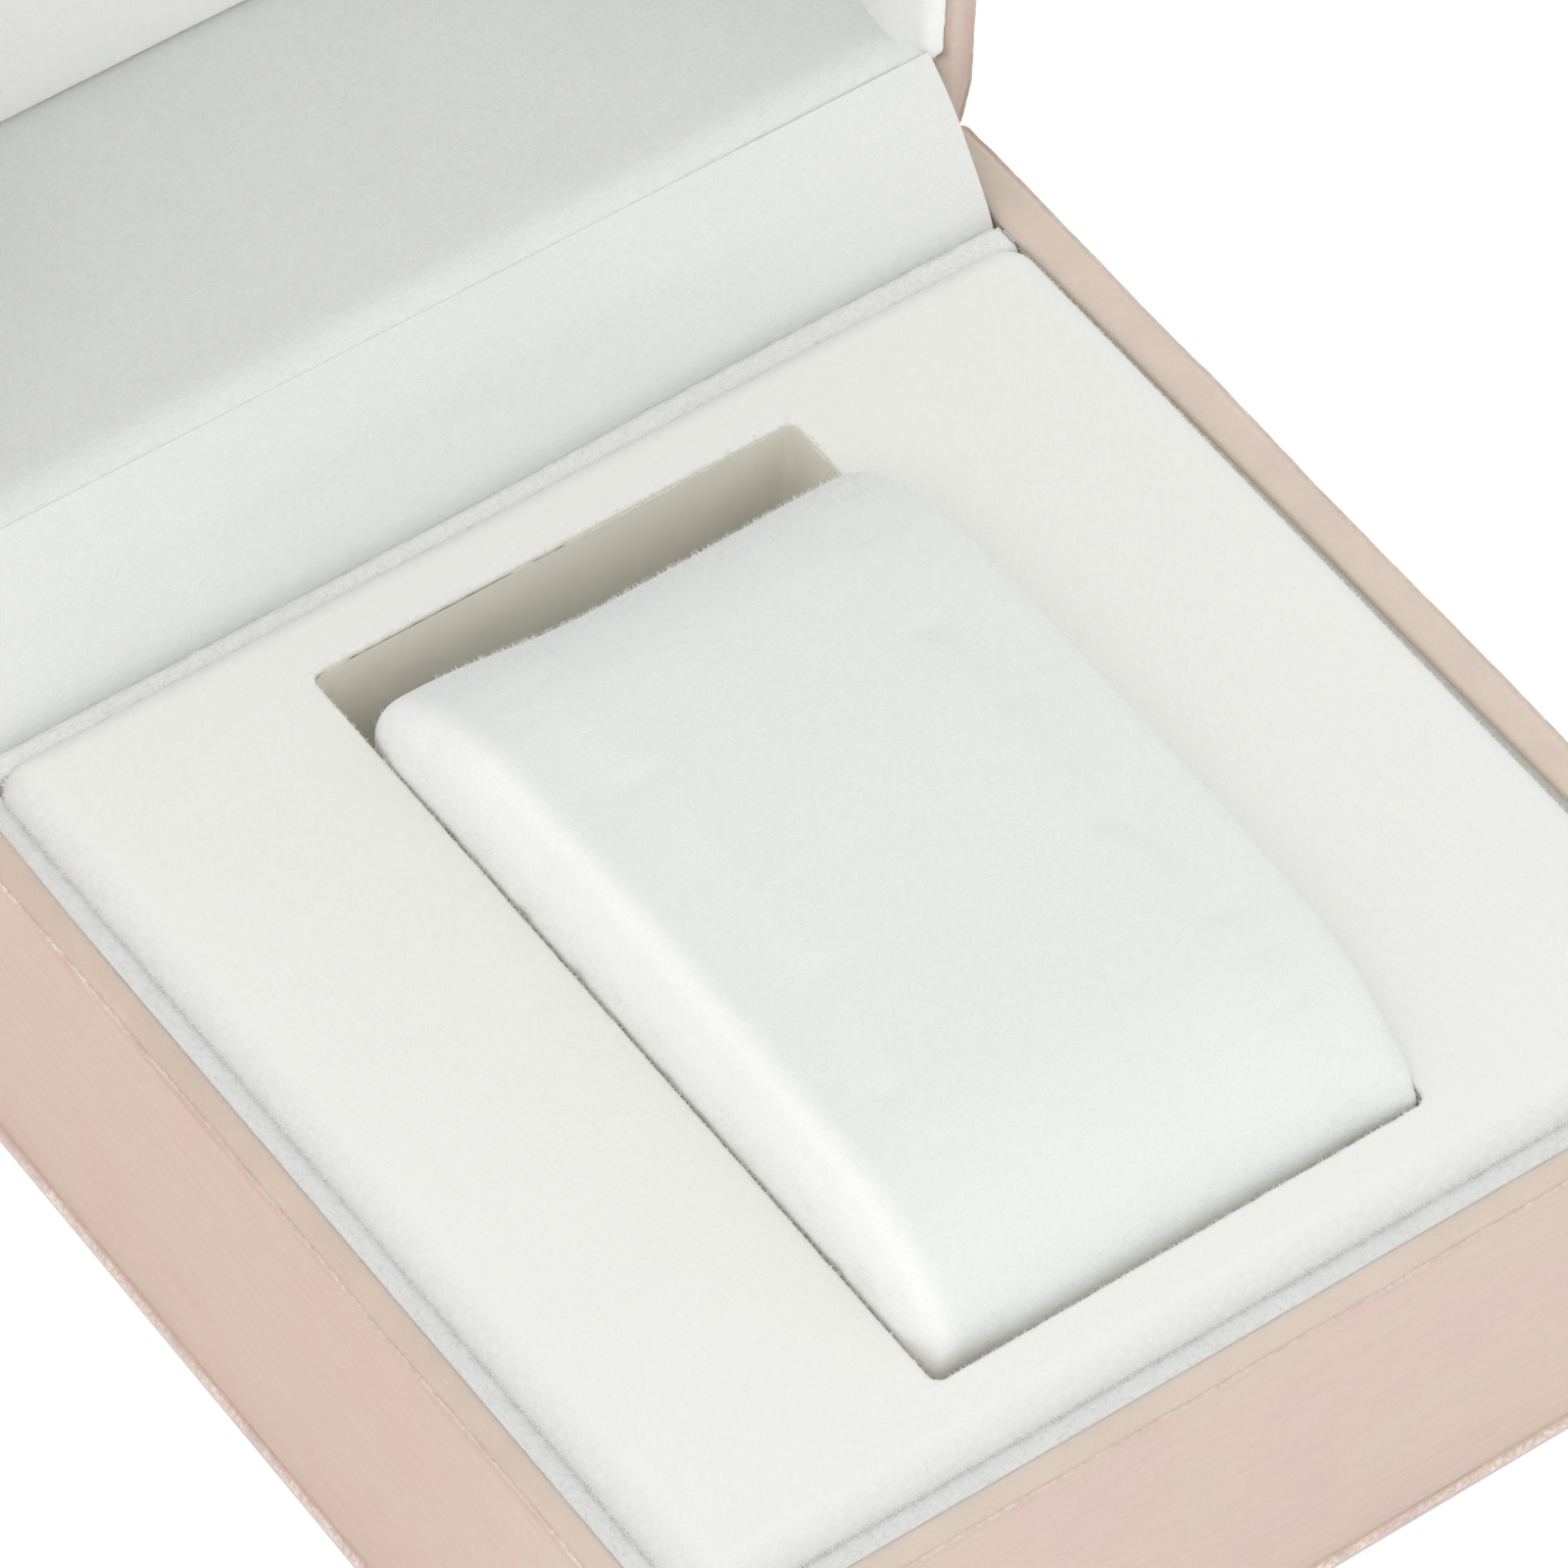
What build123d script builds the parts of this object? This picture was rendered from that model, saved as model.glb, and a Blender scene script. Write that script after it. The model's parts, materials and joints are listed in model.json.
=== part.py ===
from build123d import *
import os

# Watch and bangle box: a hinged, leatherette-wrapped base and lid, velvet linings, a lift-out
# insert with a rectangular well, and a lift-out pillow. Millimetres.
# The origin is the centre of the base's resting face. +Z is up, +X runs along the hinge and
# +Y points to the hinge side. The box is modelled with its lid open.

# ---- driving dimensions -------------------------------------------------------------------
width = 100.0  # outside of the walls, along the hinge
depth = 104.5  # outside of the walls, front to back
base_height = 31.7  # resting face to rim
lid_height = 37.5  # lid rim to lid top
corner_radius = 1.5  # vertical corners of base and lid
lid_top_radius = 1.2
rim_edge_radius = 0.35
lid_open_angle = 90.0

wrap = 0.4  # leatherette
board = 1.85  # moulded shell wall
rim = wrap + board + wrap  # full rim band
turn_in = 9.0  # leatherette turned over the rim and down inside
rim_gap = 0.3  # between the two rims when the box is shut
fit_gap = 0.05  # between pieces that are glued or laid against each other
loose_gap = 0.1  # between pieces that slide or lift past each other

sheet_thickness = 0.35  # paper under the base
plate_thickness = 1.3  # wrapped board under the walls
plate_overhang = 0.45
plate_wrap = 0.3
floor_thickness = 2.0

velvet = 0.45
velvet_turn = 6.0  # velvet turned behind each lining card
lining_thickness = 1.7
rear_lining_thickness = 2.3
lid_lining_thickness = 2.2
lid_rear_setback = 0.6  # lid rear lining behind the base one
lining_below_rim = 0.3
lid_lining_above_rim = 0.3
hinge_space = 7.2  # between a rear wall and the lining in front of it
rear_lining_half = 46.9  # base rear lining, nearly the full inside width

insert_corner_radius = 1.5
insert_above_rim = 2.0
insert_edge_radius = 2.2
insert_skin = 0.5
window_width = 42.6
window_length = 75.8
window_x = -0.65
window_y = -3.95
window_radius = 1.8
well_floor_thickness = 0.65

pillow_width = 41.4
pillow_front = -41.3
pillow_rear = 27.4
pillow_side_radius = 4.0
pillow_skin = 0.8
pillow_card_thickness = 0.8

ceiling_card = 0.8
ceiling_foam = 1.0
ceiling_velvet = 0.4
ceiling_edge = 0.9

hinge_inset = 1.0  # hinge axis in front of the rear face
pin_radius = 0.5
knuckle_bore = 0.55
knuckle_radius = 0.95
knuckle_count = 7
knuckle_gap = 0.2
hinge_length = 92.0
leaf = 0.4
channel_depth = 11.85  # below the hinge axis
rear_wall_drop = 1.2  # rear wall below the hinge axis
lid_corner_length = 6.3  # relief of the lid rim beside the hinge
lid_corner_drop = 1.1
spring_width = 8.0
spring_thickness = 0.35
spring_x = 28.0
spring_radius = 5.0
spring_shift = 0.75  # bow centre off the hinge axis, away from both channels
spring_toe = 7.0  # hinge axis to the end of each spring foot
rivet_radius = 0.8
rivet_head_radius = 1.6
rivet_head = 0.6
rivet_spacing = 26.0
rivet_count = 4
rivet_below_axis = 6.85
rivet_depth = 1.2  # into the shell wall
flap_half = 45.9
flap_thickness = 0.5
flap_bend = 1.2  # below the hinge axis, where the flap leaves the rear lining
flap_belly_back = 4.9  # middle of the flap, in front of the hinge axis
flap_belly_up = 5.4
flap_end_back = 0.2  # end of the flap, behind the lid's rear lining
flap_end_up = 9.4

# ---- derived levels -----------------------------------------------------------------------
half_w = width / 2
half_d = depth / 2
plate_top = sheet_thickness + plate_thickness
floor_top = plate_top + floor_thickness
hinge_y = half_d - hinge_inset
hinge_z = base_height + rim_gap / 2
lid_rim = base_height + rim_gap
lid_top = lid_rim + lid_height
inner_x = half_w - rim  # face of the turned-in leatherette
inner_y = half_d - rim
base_lining_top = base_height - lining_below_rim
lid_lining_foot = lid_rim + lid_lining_above_rim
lid_shell_ceiling = lid_top - wrap - floor_thickness
rear_lining_back = inner_y - hinge_space
rear_lining_face = rear_lining_back - rear_lining_thickness
front_lining_face = -inner_y + lining_thickness
insert_top = base_height + insert_above_rim
insert_half = inner_x - lining_thickness - loose_gap
insert_front = front_lining_face + loose_gap
insert_rear = rear_lining_face - loose_gap
insert_foot = floor_top + well_floor_thickness + fit_gap
lid_rear_back = rear_lining_back + lid_rear_setback
lid_rear_face = lid_rear_back - lid_lining_thickness
lid_rear_half = inner_x - lid_lining_thickness - fit_gap  # between the two side linings
hinge_axis = Axis((0, hinge_y, hinge_z), (1, 0, 0))
x_section = Plane(origin=(0, 0, 0), x_dir=(0, 1, 0), z_dir=(1, 0, 0))  # local x = Y, local y = Z

os.makedirs("parts", exist_ok=True)


def opened(part):
    """Swing a lid piece from the shut position to the open one."""
    return part.rotate(hinge_axis, -lid_open_angle)


# ---- blocks: the outer shape of base and lid, moved inwards by an inset --------------------
def base_block(inset):
    with BuildPart() as block:
        with BuildSketch(Plane.XY.offset(plate_top)):
            RectangleRounded(width - 2 * inset, depth - 2 * inset, corner_radius - inset)
        extrude(amount=base_height - inset - plate_top)
        if inset == 0:
            fillet(block.faces().sort_by(Axis.Z)[-1].edges(), rim_edge_radius)
        # the rear wall is lower, to make room for the hinge knuckles
        with BuildSketch(Plane.XY.offset(hinge_z - rear_wall_drop - inset)):
            with Locations((0, half_d)):
                Rectangle(2 * (inner_x + inset), 4 * rim)
        extrude(amount=4 * rim, mode=Mode.SUBTRACT)
    return block.part


def lid_block(inset):
    with BuildPart() as block:
        with BuildSketch(Plane.XY.offset(lid_rim + inset)):
            RectangleRounded(width - 2 * inset, depth - 2 * inset, corner_radius - inset)
        extrude(amount=lid_height - 2 * inset)
        fillet(block.faces().sort_by(Axis.Z)[-1].edges(), lid_top_radius - inset)
        if inset == 0:
            fillet(block.faces().sort_by(Axis.Z)[0].edges(), rim_edge_radius)
        with BuildSketch(Plane.XY.offset(hinge_z + rear_wall_drop + inset)):
            with Locations((0, half_d)):
                Rectangle(2 * (inner_x + inset), 4 * rim)
        extrude(amount=-4 * rim, mode=Mode.SUBTRACT)
        # the rim beside the hinge slopes away, so that the corners pass each other
        start = hinge_y + hinge_inset - lid_corner_length
        slope = lid_corner_drop / lid_corner_length
        level = lid_rim + inset
        with BuildSketch(x_section):
            with BuildLine():
                Polyline(
                    (start, level - rim),
                    (start, level),
                    (start + 2 * lid_corner_length, level + 2 * slope * lid_corner_length),
                    (start + 2 * lid_corner_length, level - rim),
                    close=True,
                )
            make_face()
        extrude(amount=width, both=True, mode=Mode.SUBTRACT)
    return block.part


def cavity(inset, low, high):
    """Straight-sided hollow, an inset inside the walls."""
    with BuildPart() as hollow:
        with BuildSketch(Plane.XY.offset(low)):
            Rectangle(width - 2 * inset, depth - 2 * inset)
        extrude(amount=high - low)
    return hollow.part


def rivet_cylinders(level, radius, start, end):
    """Row of cylinders along Y at one height, for the rivets and their holes."""
    with BuildPart() as row:
        with BuildSketch(Plane(origin=(0, start, level), x_dir=(1, 0, 0), z_dir=(0, 1, 0))):
            with GridLocations(rivet_spacing, 0, rivet_count, 1):
                Circle(radius)
        extrude(amount=end - start)
    return row.part


base_rivet_z = hinge_z - rivet_below_axis
lid_rivet_z = hinge_z + rivet_below_axis
rivet_tip = half_d - wrap - board + rivet_depth

# ---- base: sheet, plate, shell and leatherette --------------------------------------------
with BuildPart() as base_sheet:
    with BuildSketch(Plane.XY):
        RectangleRounded(width + plate_overhang, depth + plate_overhang, corner_radius)
    extrude(amount=sheet_thickness)
base_sheet.part.label = "base_sheet"
export_step(base_sheet.part, "parts/base_sheet.step")

plate_w = width + 2 * plate_overhang
plate_d = depth + 2 * plate_overhang
with BuildPart() as base_plate:
    with BuildSketch(Plane.XY.offset(sheet_thickness)):
        RectangleRounded(plate_w - 2 * plate_wrap, plate_d - 2 * plate_wrap, corner_radius)
    extrude(amount=plate_thickness - plate_wrap)
    fillet(base_plate.faces().sort_by(Axis.Z)[-1].edges(), plate_wrap)
base_plate.part.label = "base_plate"
export_step(base_plate.part, "parts/base_plate.step")

with BuildPart() as base_plate_wrap:
    with BuildSketch(Plane.XY.offset(sheet_thickness)):
        RectangleRounded(plate_w, plate_d, corner_radius + plate_wrap)
    extrude(amount=plate_thickness)
    fillet(base_plate_wrap.faces().sort_by(Axis.Z)[-1].edges(), 2 * plate_wrap)
    add(base_plate.part, mode=Mode.SUBTRACT)
base_plate_wrap.part.label = "base_plate_wrap"
export_step(base_plate_wrap.part, "parts/base_plate_wrap.step")

with BuildPart() as base_shell:
    add(base_block(wrap))
    add(cavity(wrap + board, floor_top, lid_rim), mode=Mode.SUBTRACT)
    add(rivet_cylinders(base_rivet_z, rivet_radius, inner_y, rivet_tip), mode=Mode.SUBTRACT)
base_shell.part.label = "base_shell"
export_step(base_shell.part, "parts/base_shell.step")

with BuildPart() as base_wrap:
    add(base_block(0))
    add(base_block(wrap), mode=Mode.SUBTRACT)
    add(cavity(rim, plate_top, lid_rim), mode=Mode.SUBTRACT)
    # below the turned-in edge the shell is bare inside
    add(cavity(wrap + board, plate_top, base_height - turn_in), mode=Mode.SUBTRACT)
with BuildPart() as base_turn_in:
    add(cavity(wrap + board, base_height - turn_in, base_height - wrap))
    add(cavity(rim, plate_top, lid_rim), mode=Mode.SUBTRACT)
    with BuildSketch(Plane.XY.offset(hinge_z - rear_wall_drop - wrap)):
        with Locations((0, half_d)):
            Rectangle(2 * (inner_x + wrap), 4 * rim)
    extrude(amount=4 * rim, mode=Mode.SUBTRACT)
    add(rivet_cylinders(base_rivet_z, rivet_radius, inner_y - 1, rivet_tip), mode=Mode.SUBTRACT)
with BuildPart() as base_leatherette:
    add(base_wrap.part)
    add(base_turn_in.part)
base_leatherette.part.label = "base_leatherette"
export_step(base_leatherette.part, "parts/base_leatherette.step")

# ---- lid: shell and leatherette -----------------------------------------------------------
with BuildPart() as lid_shell:
    add(lid_block(wrap))
    add(cavity(wrap + board, lid_rim, lid_shell_ceiling), mode=Mode.SUBTRACT)
    add(rivet_cylinders(lid_rivet_z, rivet_radius, inner_y, rivet_tip), mode=Mode.SUBTRACT)
lid_shell_open = opened(lid_shell.part)
lid_shell_open.label = "lid_shell"
export_step(lid_shell_open, "parts/lid_shell.step")

with BuildPart() as lid_wrap:
    add(lid_block(0))
    add(lid_block(wrap), mode=Mode.SUBTRACT)
    add(cavity(rim, base_height, lid_rim + rim), mode=Mode.SUBTRACT)
with BuildPart() as lid_turn_in:
    add(cavity(wrap + board, lid_rim + wrap, lid_rim + turn_in))
    add(cavity(rim, lid_rim, lid_rim + turn_in), mode=Mode.SUBTRACT)
    with BuildSketch(Plane.XY.offset(hinge_z + rear_wall_drop + wrap)):
        with Locations((0, half_d)):
            Rectangle(2 * (inner_x + wrap), 4 * rim)
    extrude(amount=-4 * rim, mode=Mode.SUBTRACT)
    add(rivet_cylinders(lid_rivet_z, rivet_radius, inner_y - 1, rivet_tip), mode=Mode.SUBTRACT)
with BuildPart() as lid_leatherette:
    add(lid_wrap.part)
    add(lid_turn_in.part)
lid_leatherette_open = opened(lid_leatherette.part)
lid_leatherette_open.label = "lid_leatherette"
export_step(lid_leatherette_open, "parts/lid_leatherette.step")


# ---- linings: a card with velvet over its face and edge, turned behind it ------------------
def lining_plane(foot, inward, edge):
    """Section plane of a lining: local x points into the box, local y to its visible edge."""
    along = Vector(*inward).cross(Vector(*edge))
    return Plane(origin=foot, x_dir=inward, z_dir=along)


def lining_card(plane, thickness, height, length):
    core = thickness - 2 * velvet
    with BuildPart() as card:
        with BuildSketch(plane):
            with Locations((velvet, 0)):
                Rectangle(core, height - velvet, align=(Align.MIN, Align.MIN))
        extrude(amount=length)
    return card.part


def lining_velvet(plane, thickness, height, length):
    core = thickness - 2 * velvet
    with BuildPart() as cover:
        with BuildSketch(plane) as section:
            Rectangle(thickness, height, align=(Align.MIN, Align.MIN))
            fillet(section.vertices().group_by(Axis.Y)[-1], thickness / 2 - fit_gap)
            with Locations((velvet, 0)):
                Rectangle(core, height - velvet, align=(Align.MIN, Align.MIN), mode=Mode.SUBTRACT)
            Rectangle(velvet, height - velvet_turn, align=(Align.MIN, Align.MIN), mode=Mode.SUBTRACT)
        extrude(amount=length)
    return cover.part


up = (0, 0, 1)
down = (0, 0, -1)
side_length = rear_lining_face - front_lining_face - 2 * fit_gap
lid_front_face = -inner_y + lid_lining_thickness
lid_side_length = lid_rear_back - lid_front_face - 2 * fit_gap
base_lining_height = base_lining_top - floor_top
lid_lining_height = lid_shell_ceiling - lid_lining_foot

# name: foot of the wall side at the start of the strip, inward direction, thickness, height, length
base_linings = {
    "front": ((-inner_x, -inner_y, floor_top), (0, 1, 0), lining_thickness,
              base_lining_height, 2 * inner_x),
    "left": ((-inner_x, rear_lining_face - fit_gap, floor_top), (1, 0, 0), lining_thickness,
             base_lining_height, side_length),
    "right": ((inner_x, front_lining_face + fit_gap, floor_top), (-1, 0, 0), lining_thickness,
              base_lining_height, side_length),
    "rear": ((rear_lining_half, rear_lining_back, floor_top), (0, -1, 0), rear_lining_thickness,
             base_height - floor_top, 2 * rear_lining_half),
}
lid_linings = {
    "front": ((inner_x, -inner_y, lid_shell_ceiling), (0, 1, 0), lid_lining_thickness,
              lid_lining_height, 2 * inner_x),
    "left": ((-inner_x, lid_front_face + fit_gap, lid_shell_ceiling), (1, 0, 0), lid_lining_thickness,
             lid_lining_height, lid_side_length),
    "right": ((inner_x, lid_rear_back - fit_gap, lid_shell_ceiling), (-1, 0, 0), lid_lining_thickness,
              lid_lining_height, lid_side_length),
    "rear": ((-lid_rear_half, lid_rear_back, lid_shell_ceiling), (0, -1, 0), lid_lining_thickness,
             lid_lining_height, 2 * lid_rear_half),
}
for side, (foot, inward, thickness, height, length) in base_linings.items():
    section_plane = lining_plane(foot, inward, up)
    card = lining_card(section_plane, thickness, height, length)
    card.label = f"base_card_{side}"
    export_step(card, f"parts/base_card_{side}.step")
    cover = lining_velvet(section_plane, thickness, height, length)
    cover.label = f"base_velvet_{side}"
    export_step(cover, f"parts/base_velvet_{side}.step")
for side, (foot, inward, thickness, height, length) in lid_linings.items():
    section_plane = lining_plane(foot, inward, down)
    card = opened(lining_card(section_plane, thickness, height, length))
    card.label = f"lid_card_{side}"
    export_step(card, f"parts/lid_card_{side}.step")
    cover = opened(lining_velvet(section_plane, thickness, height, length))
    cover.label = f"lid_velvet_{side}"
    export_step(cover, f"parts/lid_velvet_{side}.step")


# ---- lid ceiling: card, foam and velvet ---------------------------------------------------
def ceiling_slab(inset, low, high, radius):
    half_x = inner_x - lid_lining_thickness - loose_gap - inset
    front = lid_front_face + loose_gap + inset
    rear = lid_rear_face - loose_gap - inset
    with BuildPart() as slab:
        with BuildSketch(Plane.XY.offset(low)):
            with Locations((0, (front + rear) / 2)):
                Rectangle(2 * half_x, rear - front)
        extrude(amount=high - low)
        if radius > 0:
            fillet(slab.faces().sort_by(Axis.Z)[0].edges(), radius)
    return slab.part


card_level = lid_shell_ceiling - ceiling_card
foam_level = card_level - ceiling_foam
velvet_level = foam_level - ceiling_velvet
lid_ceiling_card = opened(ceiling_slab(0, card_level, lid_shell_ceiling, 0))
lid_ceiling_card.label = "lid_ceiling_card"
export_step(lid_ceiling_card, "parts/lid_ceiling_card.step")

foam_slab = ceiling_slab(ceiling_velvet, foam_level, card_level, ceiling_edge - ceiling_velvet)
lid_ceiling_foam = opened(foam_slab)
lid_ceiling_foam.label = "lid_ceiling_foam"
export_step(lid_ceiling_foam, "parts/lid_ceiling_foam.step")

with BuildPart() as ceiling_cover:
    add(ceiling_slab(0, velvet_level, card_level, ceiling_edge))
    add(foam_slab, mode=Mode.SUBTRACT)
lid_ceiling_velvet = opened(ceiling_cover.part)
lid_ceiling_velvet.label = "lid_ceiling_velvet"
export_step(lid_ceiling_velvet, "parts/lid_ceiling_velvet.step")

# ---- insert: foam block with a well, under a velvet cover ---------------------------------
with BuildPart() as well_floor:
    with BuildSketch(Plane.XY.offset(floor_top)):
        with Locations((0, (insert_front + insert_rear) / 2)):
            Rectangle(2 * insert_half, insert_rear - insert_front)
    extrude(amount=well_floor_thickness)
well_floor.part.label = "well_floor"
export_step(well_floor.part, "parts/well_floor.step")


def insert_block(inset):
    with BuildPart() as block:
        with BuildSketch(Plane.XY.offset(insert_foot)):
            with Locations((0, (insert_front + insert_rear) / 2)):
                RectangleRounded(
                    2 * (insert_half - inset),
                    insert_rear - insert_front - 2 * inset,
                    insert_corner_radius - inset,
                )
        extrude(amount=insert_top - inset - insert_foot)
        fillet(block.faces().sort_by(Axis.Z)[-1].edges(), insert_edge_radius - inset)
        with BuildSketch(Plane.XY.offset(insert_foot)):
            with Locations((window_x, window_y)):
                RectangleRounded(window_width, window_length, window_radius)
        extrude(amount=insert_top, mode=Mode.SUBTRACT)
    return block.part


insert_foam = insert_block(insert_skin)
insert_foam.label = "insert_foam"
export_step(insert_foam, "parts/insert_foam.step")

with BuildPart() as insert_cover:
    add(insert_block(0))
    add(insert_foam, mode=Mode.SUBTRACT)
insert_cover.part.label = "insert_cover"
export_step(insert_cover.part, "parts/insert_cover.step")


# ---- pillow: card, foam and velvet cover --------------------------------------------------
def pillow_solid(inset):
    """Cushion with an arched top, a full front and a softer, longer slope at its rear."""
    with BuildPart() as cushion:
        with BuildSketch(x_section.offset(window_x - pillow_width / 2 + inset)):
            with BuildLine():
                Line((pillow_rear, insert_foot), (pillow_front, insert_foot))
                Line((pillow_front, insert_foot), (pillow_front, 31.5))
                ThreePointArc((pillow_front, 31.5), (-37.6, 39.4), (-30.0, 43.0))
                ThreePointArc((-30.0, 43.0), (-8.0, 44.6), (15.5, 43.4))
                ThreePointArc((15.5, 43.4), (24.0, 39.0), (pillow_rear, 31.0))
                Line((pillow_rear, 31.0), (pillow_rear, insert_foot))
            make_face()
            if inset > 0:
                offset(amount=-inset, mode=Mode.REPLACE)
        extrude(amount=pillow_width - 2 * inset)
        fillet(cushion.faces().group_by(Axis.X)[0].edges(), pillow_side_radius - inset)
        fillet(cushion.faces().group_by(Axis.X)[-1].edges(), pillow_side_radius - inset)
    return cushion.part


pillow_card_top = Plane.XY.offset(insert_foot + pillow_skin + pillow_card_thickness)
with BuildPart() as pillow_card:
    add(pillow_solid(pillow_skin))
    split(bisect_by=pillow_card_top, keep=Keep.BOTTOM)
pillow_card.part.label = "pillow_card"
export_step(pillow_card.part, "parts/pillow_card.step")

with BuildPart() as pillow_foam:
    add(pillow_solid(pillow_skin))
    split(bisect_by=pillow_card_top, keep=Keep.TOP)
pillow_foam.part.label = "pillow_foam"
export_step(pillow_foam.part, "parts/pillow_foam.step")

with BuildPart() as pillow_cover:
    add(pillow_solid(0))
    add(pillow_solid(pillow_skin), mode=Mode.SUBTRACT)
pillow_cover.part.label = "pillow_cover"
export_step(pillow_cover.part, "parts/pillow_cover.step")

# ---- hinge --------------------------------------------------------------------------------
knuckle_length = hinge_length / knuckle_count - knuckle_gap
with BuildPart() as hinge_pin:
    with BuildSketch(x_section.offset(-hinge_length / 2)):
        with Locations((hinge_y, hinge_z)):
            Circle(pin_radius)
    extrude(amount=hinge_length)
hinge_pin.part.label = "hinge_pin"
export_step(hinge_pin.part, "parts/hinge_pin.step")


def hinge_leaf(first_knuckle):
    """Channel-shaped spring housing with curled knuckles, as it lies in the base."""
    back = inner_y
    front = rear_lining_back + flap_thickness + loose_gap
    low = hinge_z - channel_depth
    high = hinge_z - knuckle_radius
    with BuildPart() as channel:
        with BuildSketch(x_section.offset(-hinge_length / 2)):
            with BuildLine():
                Polyline(
                    (back, high), (back, low), (front, low), (front, high - leaf),
                    (front + leaf, high - leaf), (front + leaf, low + leaf),
                    (back - leaf, low + leaf), (back - leaf, high), close=True,
                )
            make_face()
        extrude(amount=hinge_length)
        for index in range(first_knuckle, knuckle_count, 2):
            start = (index - knuckle_count / 2) * hinge_length / knuckle_count + knuckle_gap / 2
            with BuildSketch(x_section.offset(start)):
                with Locations((hinge_y, hinge_z)):
                    Circle(knuckle_radius)
                with Locations((back - leaf, high)):
                    Rectangle(hinge_y - back + leaf, leaf, align=(Align.MIN, Align.MIN))
                with Locations((hinge_y, hinge_z)):
                    Circle(knuckle_bore, mode=Mode.SUBTRACT)
            extrude(amount=knuckle_length)
        add(
            rivet_cylinders(base_rivet_z, rivet_radius + fit_gap, back - 2 * leaf, back + leaf),
            mode=Mode.SUBTRACT,
        )
    return channel.part


hinge_base_leaf = hinge_leaf(0)
hinge_base_leaf.label = "hinge_base_leaf"
export_step(hinge_base_leaf, "parts/hinge_base_leaf.step")

with BuildPart() as hinge_lid_leaf:
    mirror(hinge_leaf(1), about=Plane.XY.offset(hinge_z))
hinge_lid_leaf_open = opened(hinge_lid_leaf.part)
hinge_lid_leaf_open.label = "hinge_lid_leaf"
export_step(hinge_lid_leaf_open, "parts/hinge_lid_leaf.step")


def rivets(level):
    leaf_face = inner_y - leaf
    with BuildPart() as group:
        add(rivet_cylinders(level, rivet_radius, leaf_face - rivet_head, rivet_tip - loose_gap))
        add(rivet_cylinders(level, rivet_head_radius, leaf_face - rivet_head, leaf_face))
    return group.part


base_rivets = rivets(base_rivet_z)
base_rivets.label = "base_rivets"
export_step(base_rivets, "parts/base_rivets.step")
lid_rivets = opened(rivets(lid_rivet_z))
lid_rivets.label = "lid_rivets"
export_step(lid_rivets, "parts/lid_rivets.step")

# bow springs: from the foot in the base channel, round the hinge, to the foot in the lid channel
spring_foot = channel_depth - leaf - spring_thickness / 2 - fit_gap
spring_off = spring_radius - spring_shift
with BuildPart() as bow_springs:
    with BuildSketch(x_section.offset(spring_x - spring_width / 2)):
        with BuildLine() as bow:
            Polyline(
                (hinge_y - spring_toe, hinge_z - spring_foot),
                (hinge_y - spring_off, hinge_z - spring_foot),
                (hinge_y - spring_off, hinge_z - spring_shift),
            )
            RadiusArc(
                (hinge_y - spring_off, hinge_z - spring_shift),
                (hinge_y + spring_shift, hinge_z + spring_off),
                spring_radius,
            )
            Polyline(
                (hinge_y + spring_shift, hinge_z + spring_off),
                (hinge_y + spring_foot, hinge_z + spring_off),
                (hinge_y + spring_foot, hinge_z + spring_toe),
            )
            offset(amount=spring_thickness, side=Side.LEFT)
        make_face()
    extrude(amount=spring_width)
    mirror(about=Plane.YZ)
bow_springs.part.label = "bow_springs"
export_step(bow_springs.part, "parts/bow_springs.step")

# velvet flap over the hinge, glued behind the base rear lining and led up to the lid lining
flap_start = rear_lining_back + fit_gap
with BuildPart() as hinge_flap:
    with BuildSketch(x_section.offset(-flap_half)):
        with BuildLine():
            Line((flap_start, hinge_z - velvet_turn), (flap_start, hinge_z - flap_bend))
            ThreePointArc(
                (flap_start, hinge_z - flap_bend),
                (hinge_y - flap_belly_back, hinge_z + flap_belly_up),
                (hinge_y + flap_end_back, hinge_z + flap_end_up),
            )
            offset(amount=flap_thickness, side=Side.RIGHT)
        make_face()
    extrude(amount=2 * flap_half)
hinge_flap.part.label = "hinge_flap"
export_step(hinge_flap.part, "parts/hinge_flap.step")
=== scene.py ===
import json
from math import cos, inf, pi, radians, sin
from random import Random

import bmesh
import bpy
from mathutils import Matrix, Vector, noise


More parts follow.
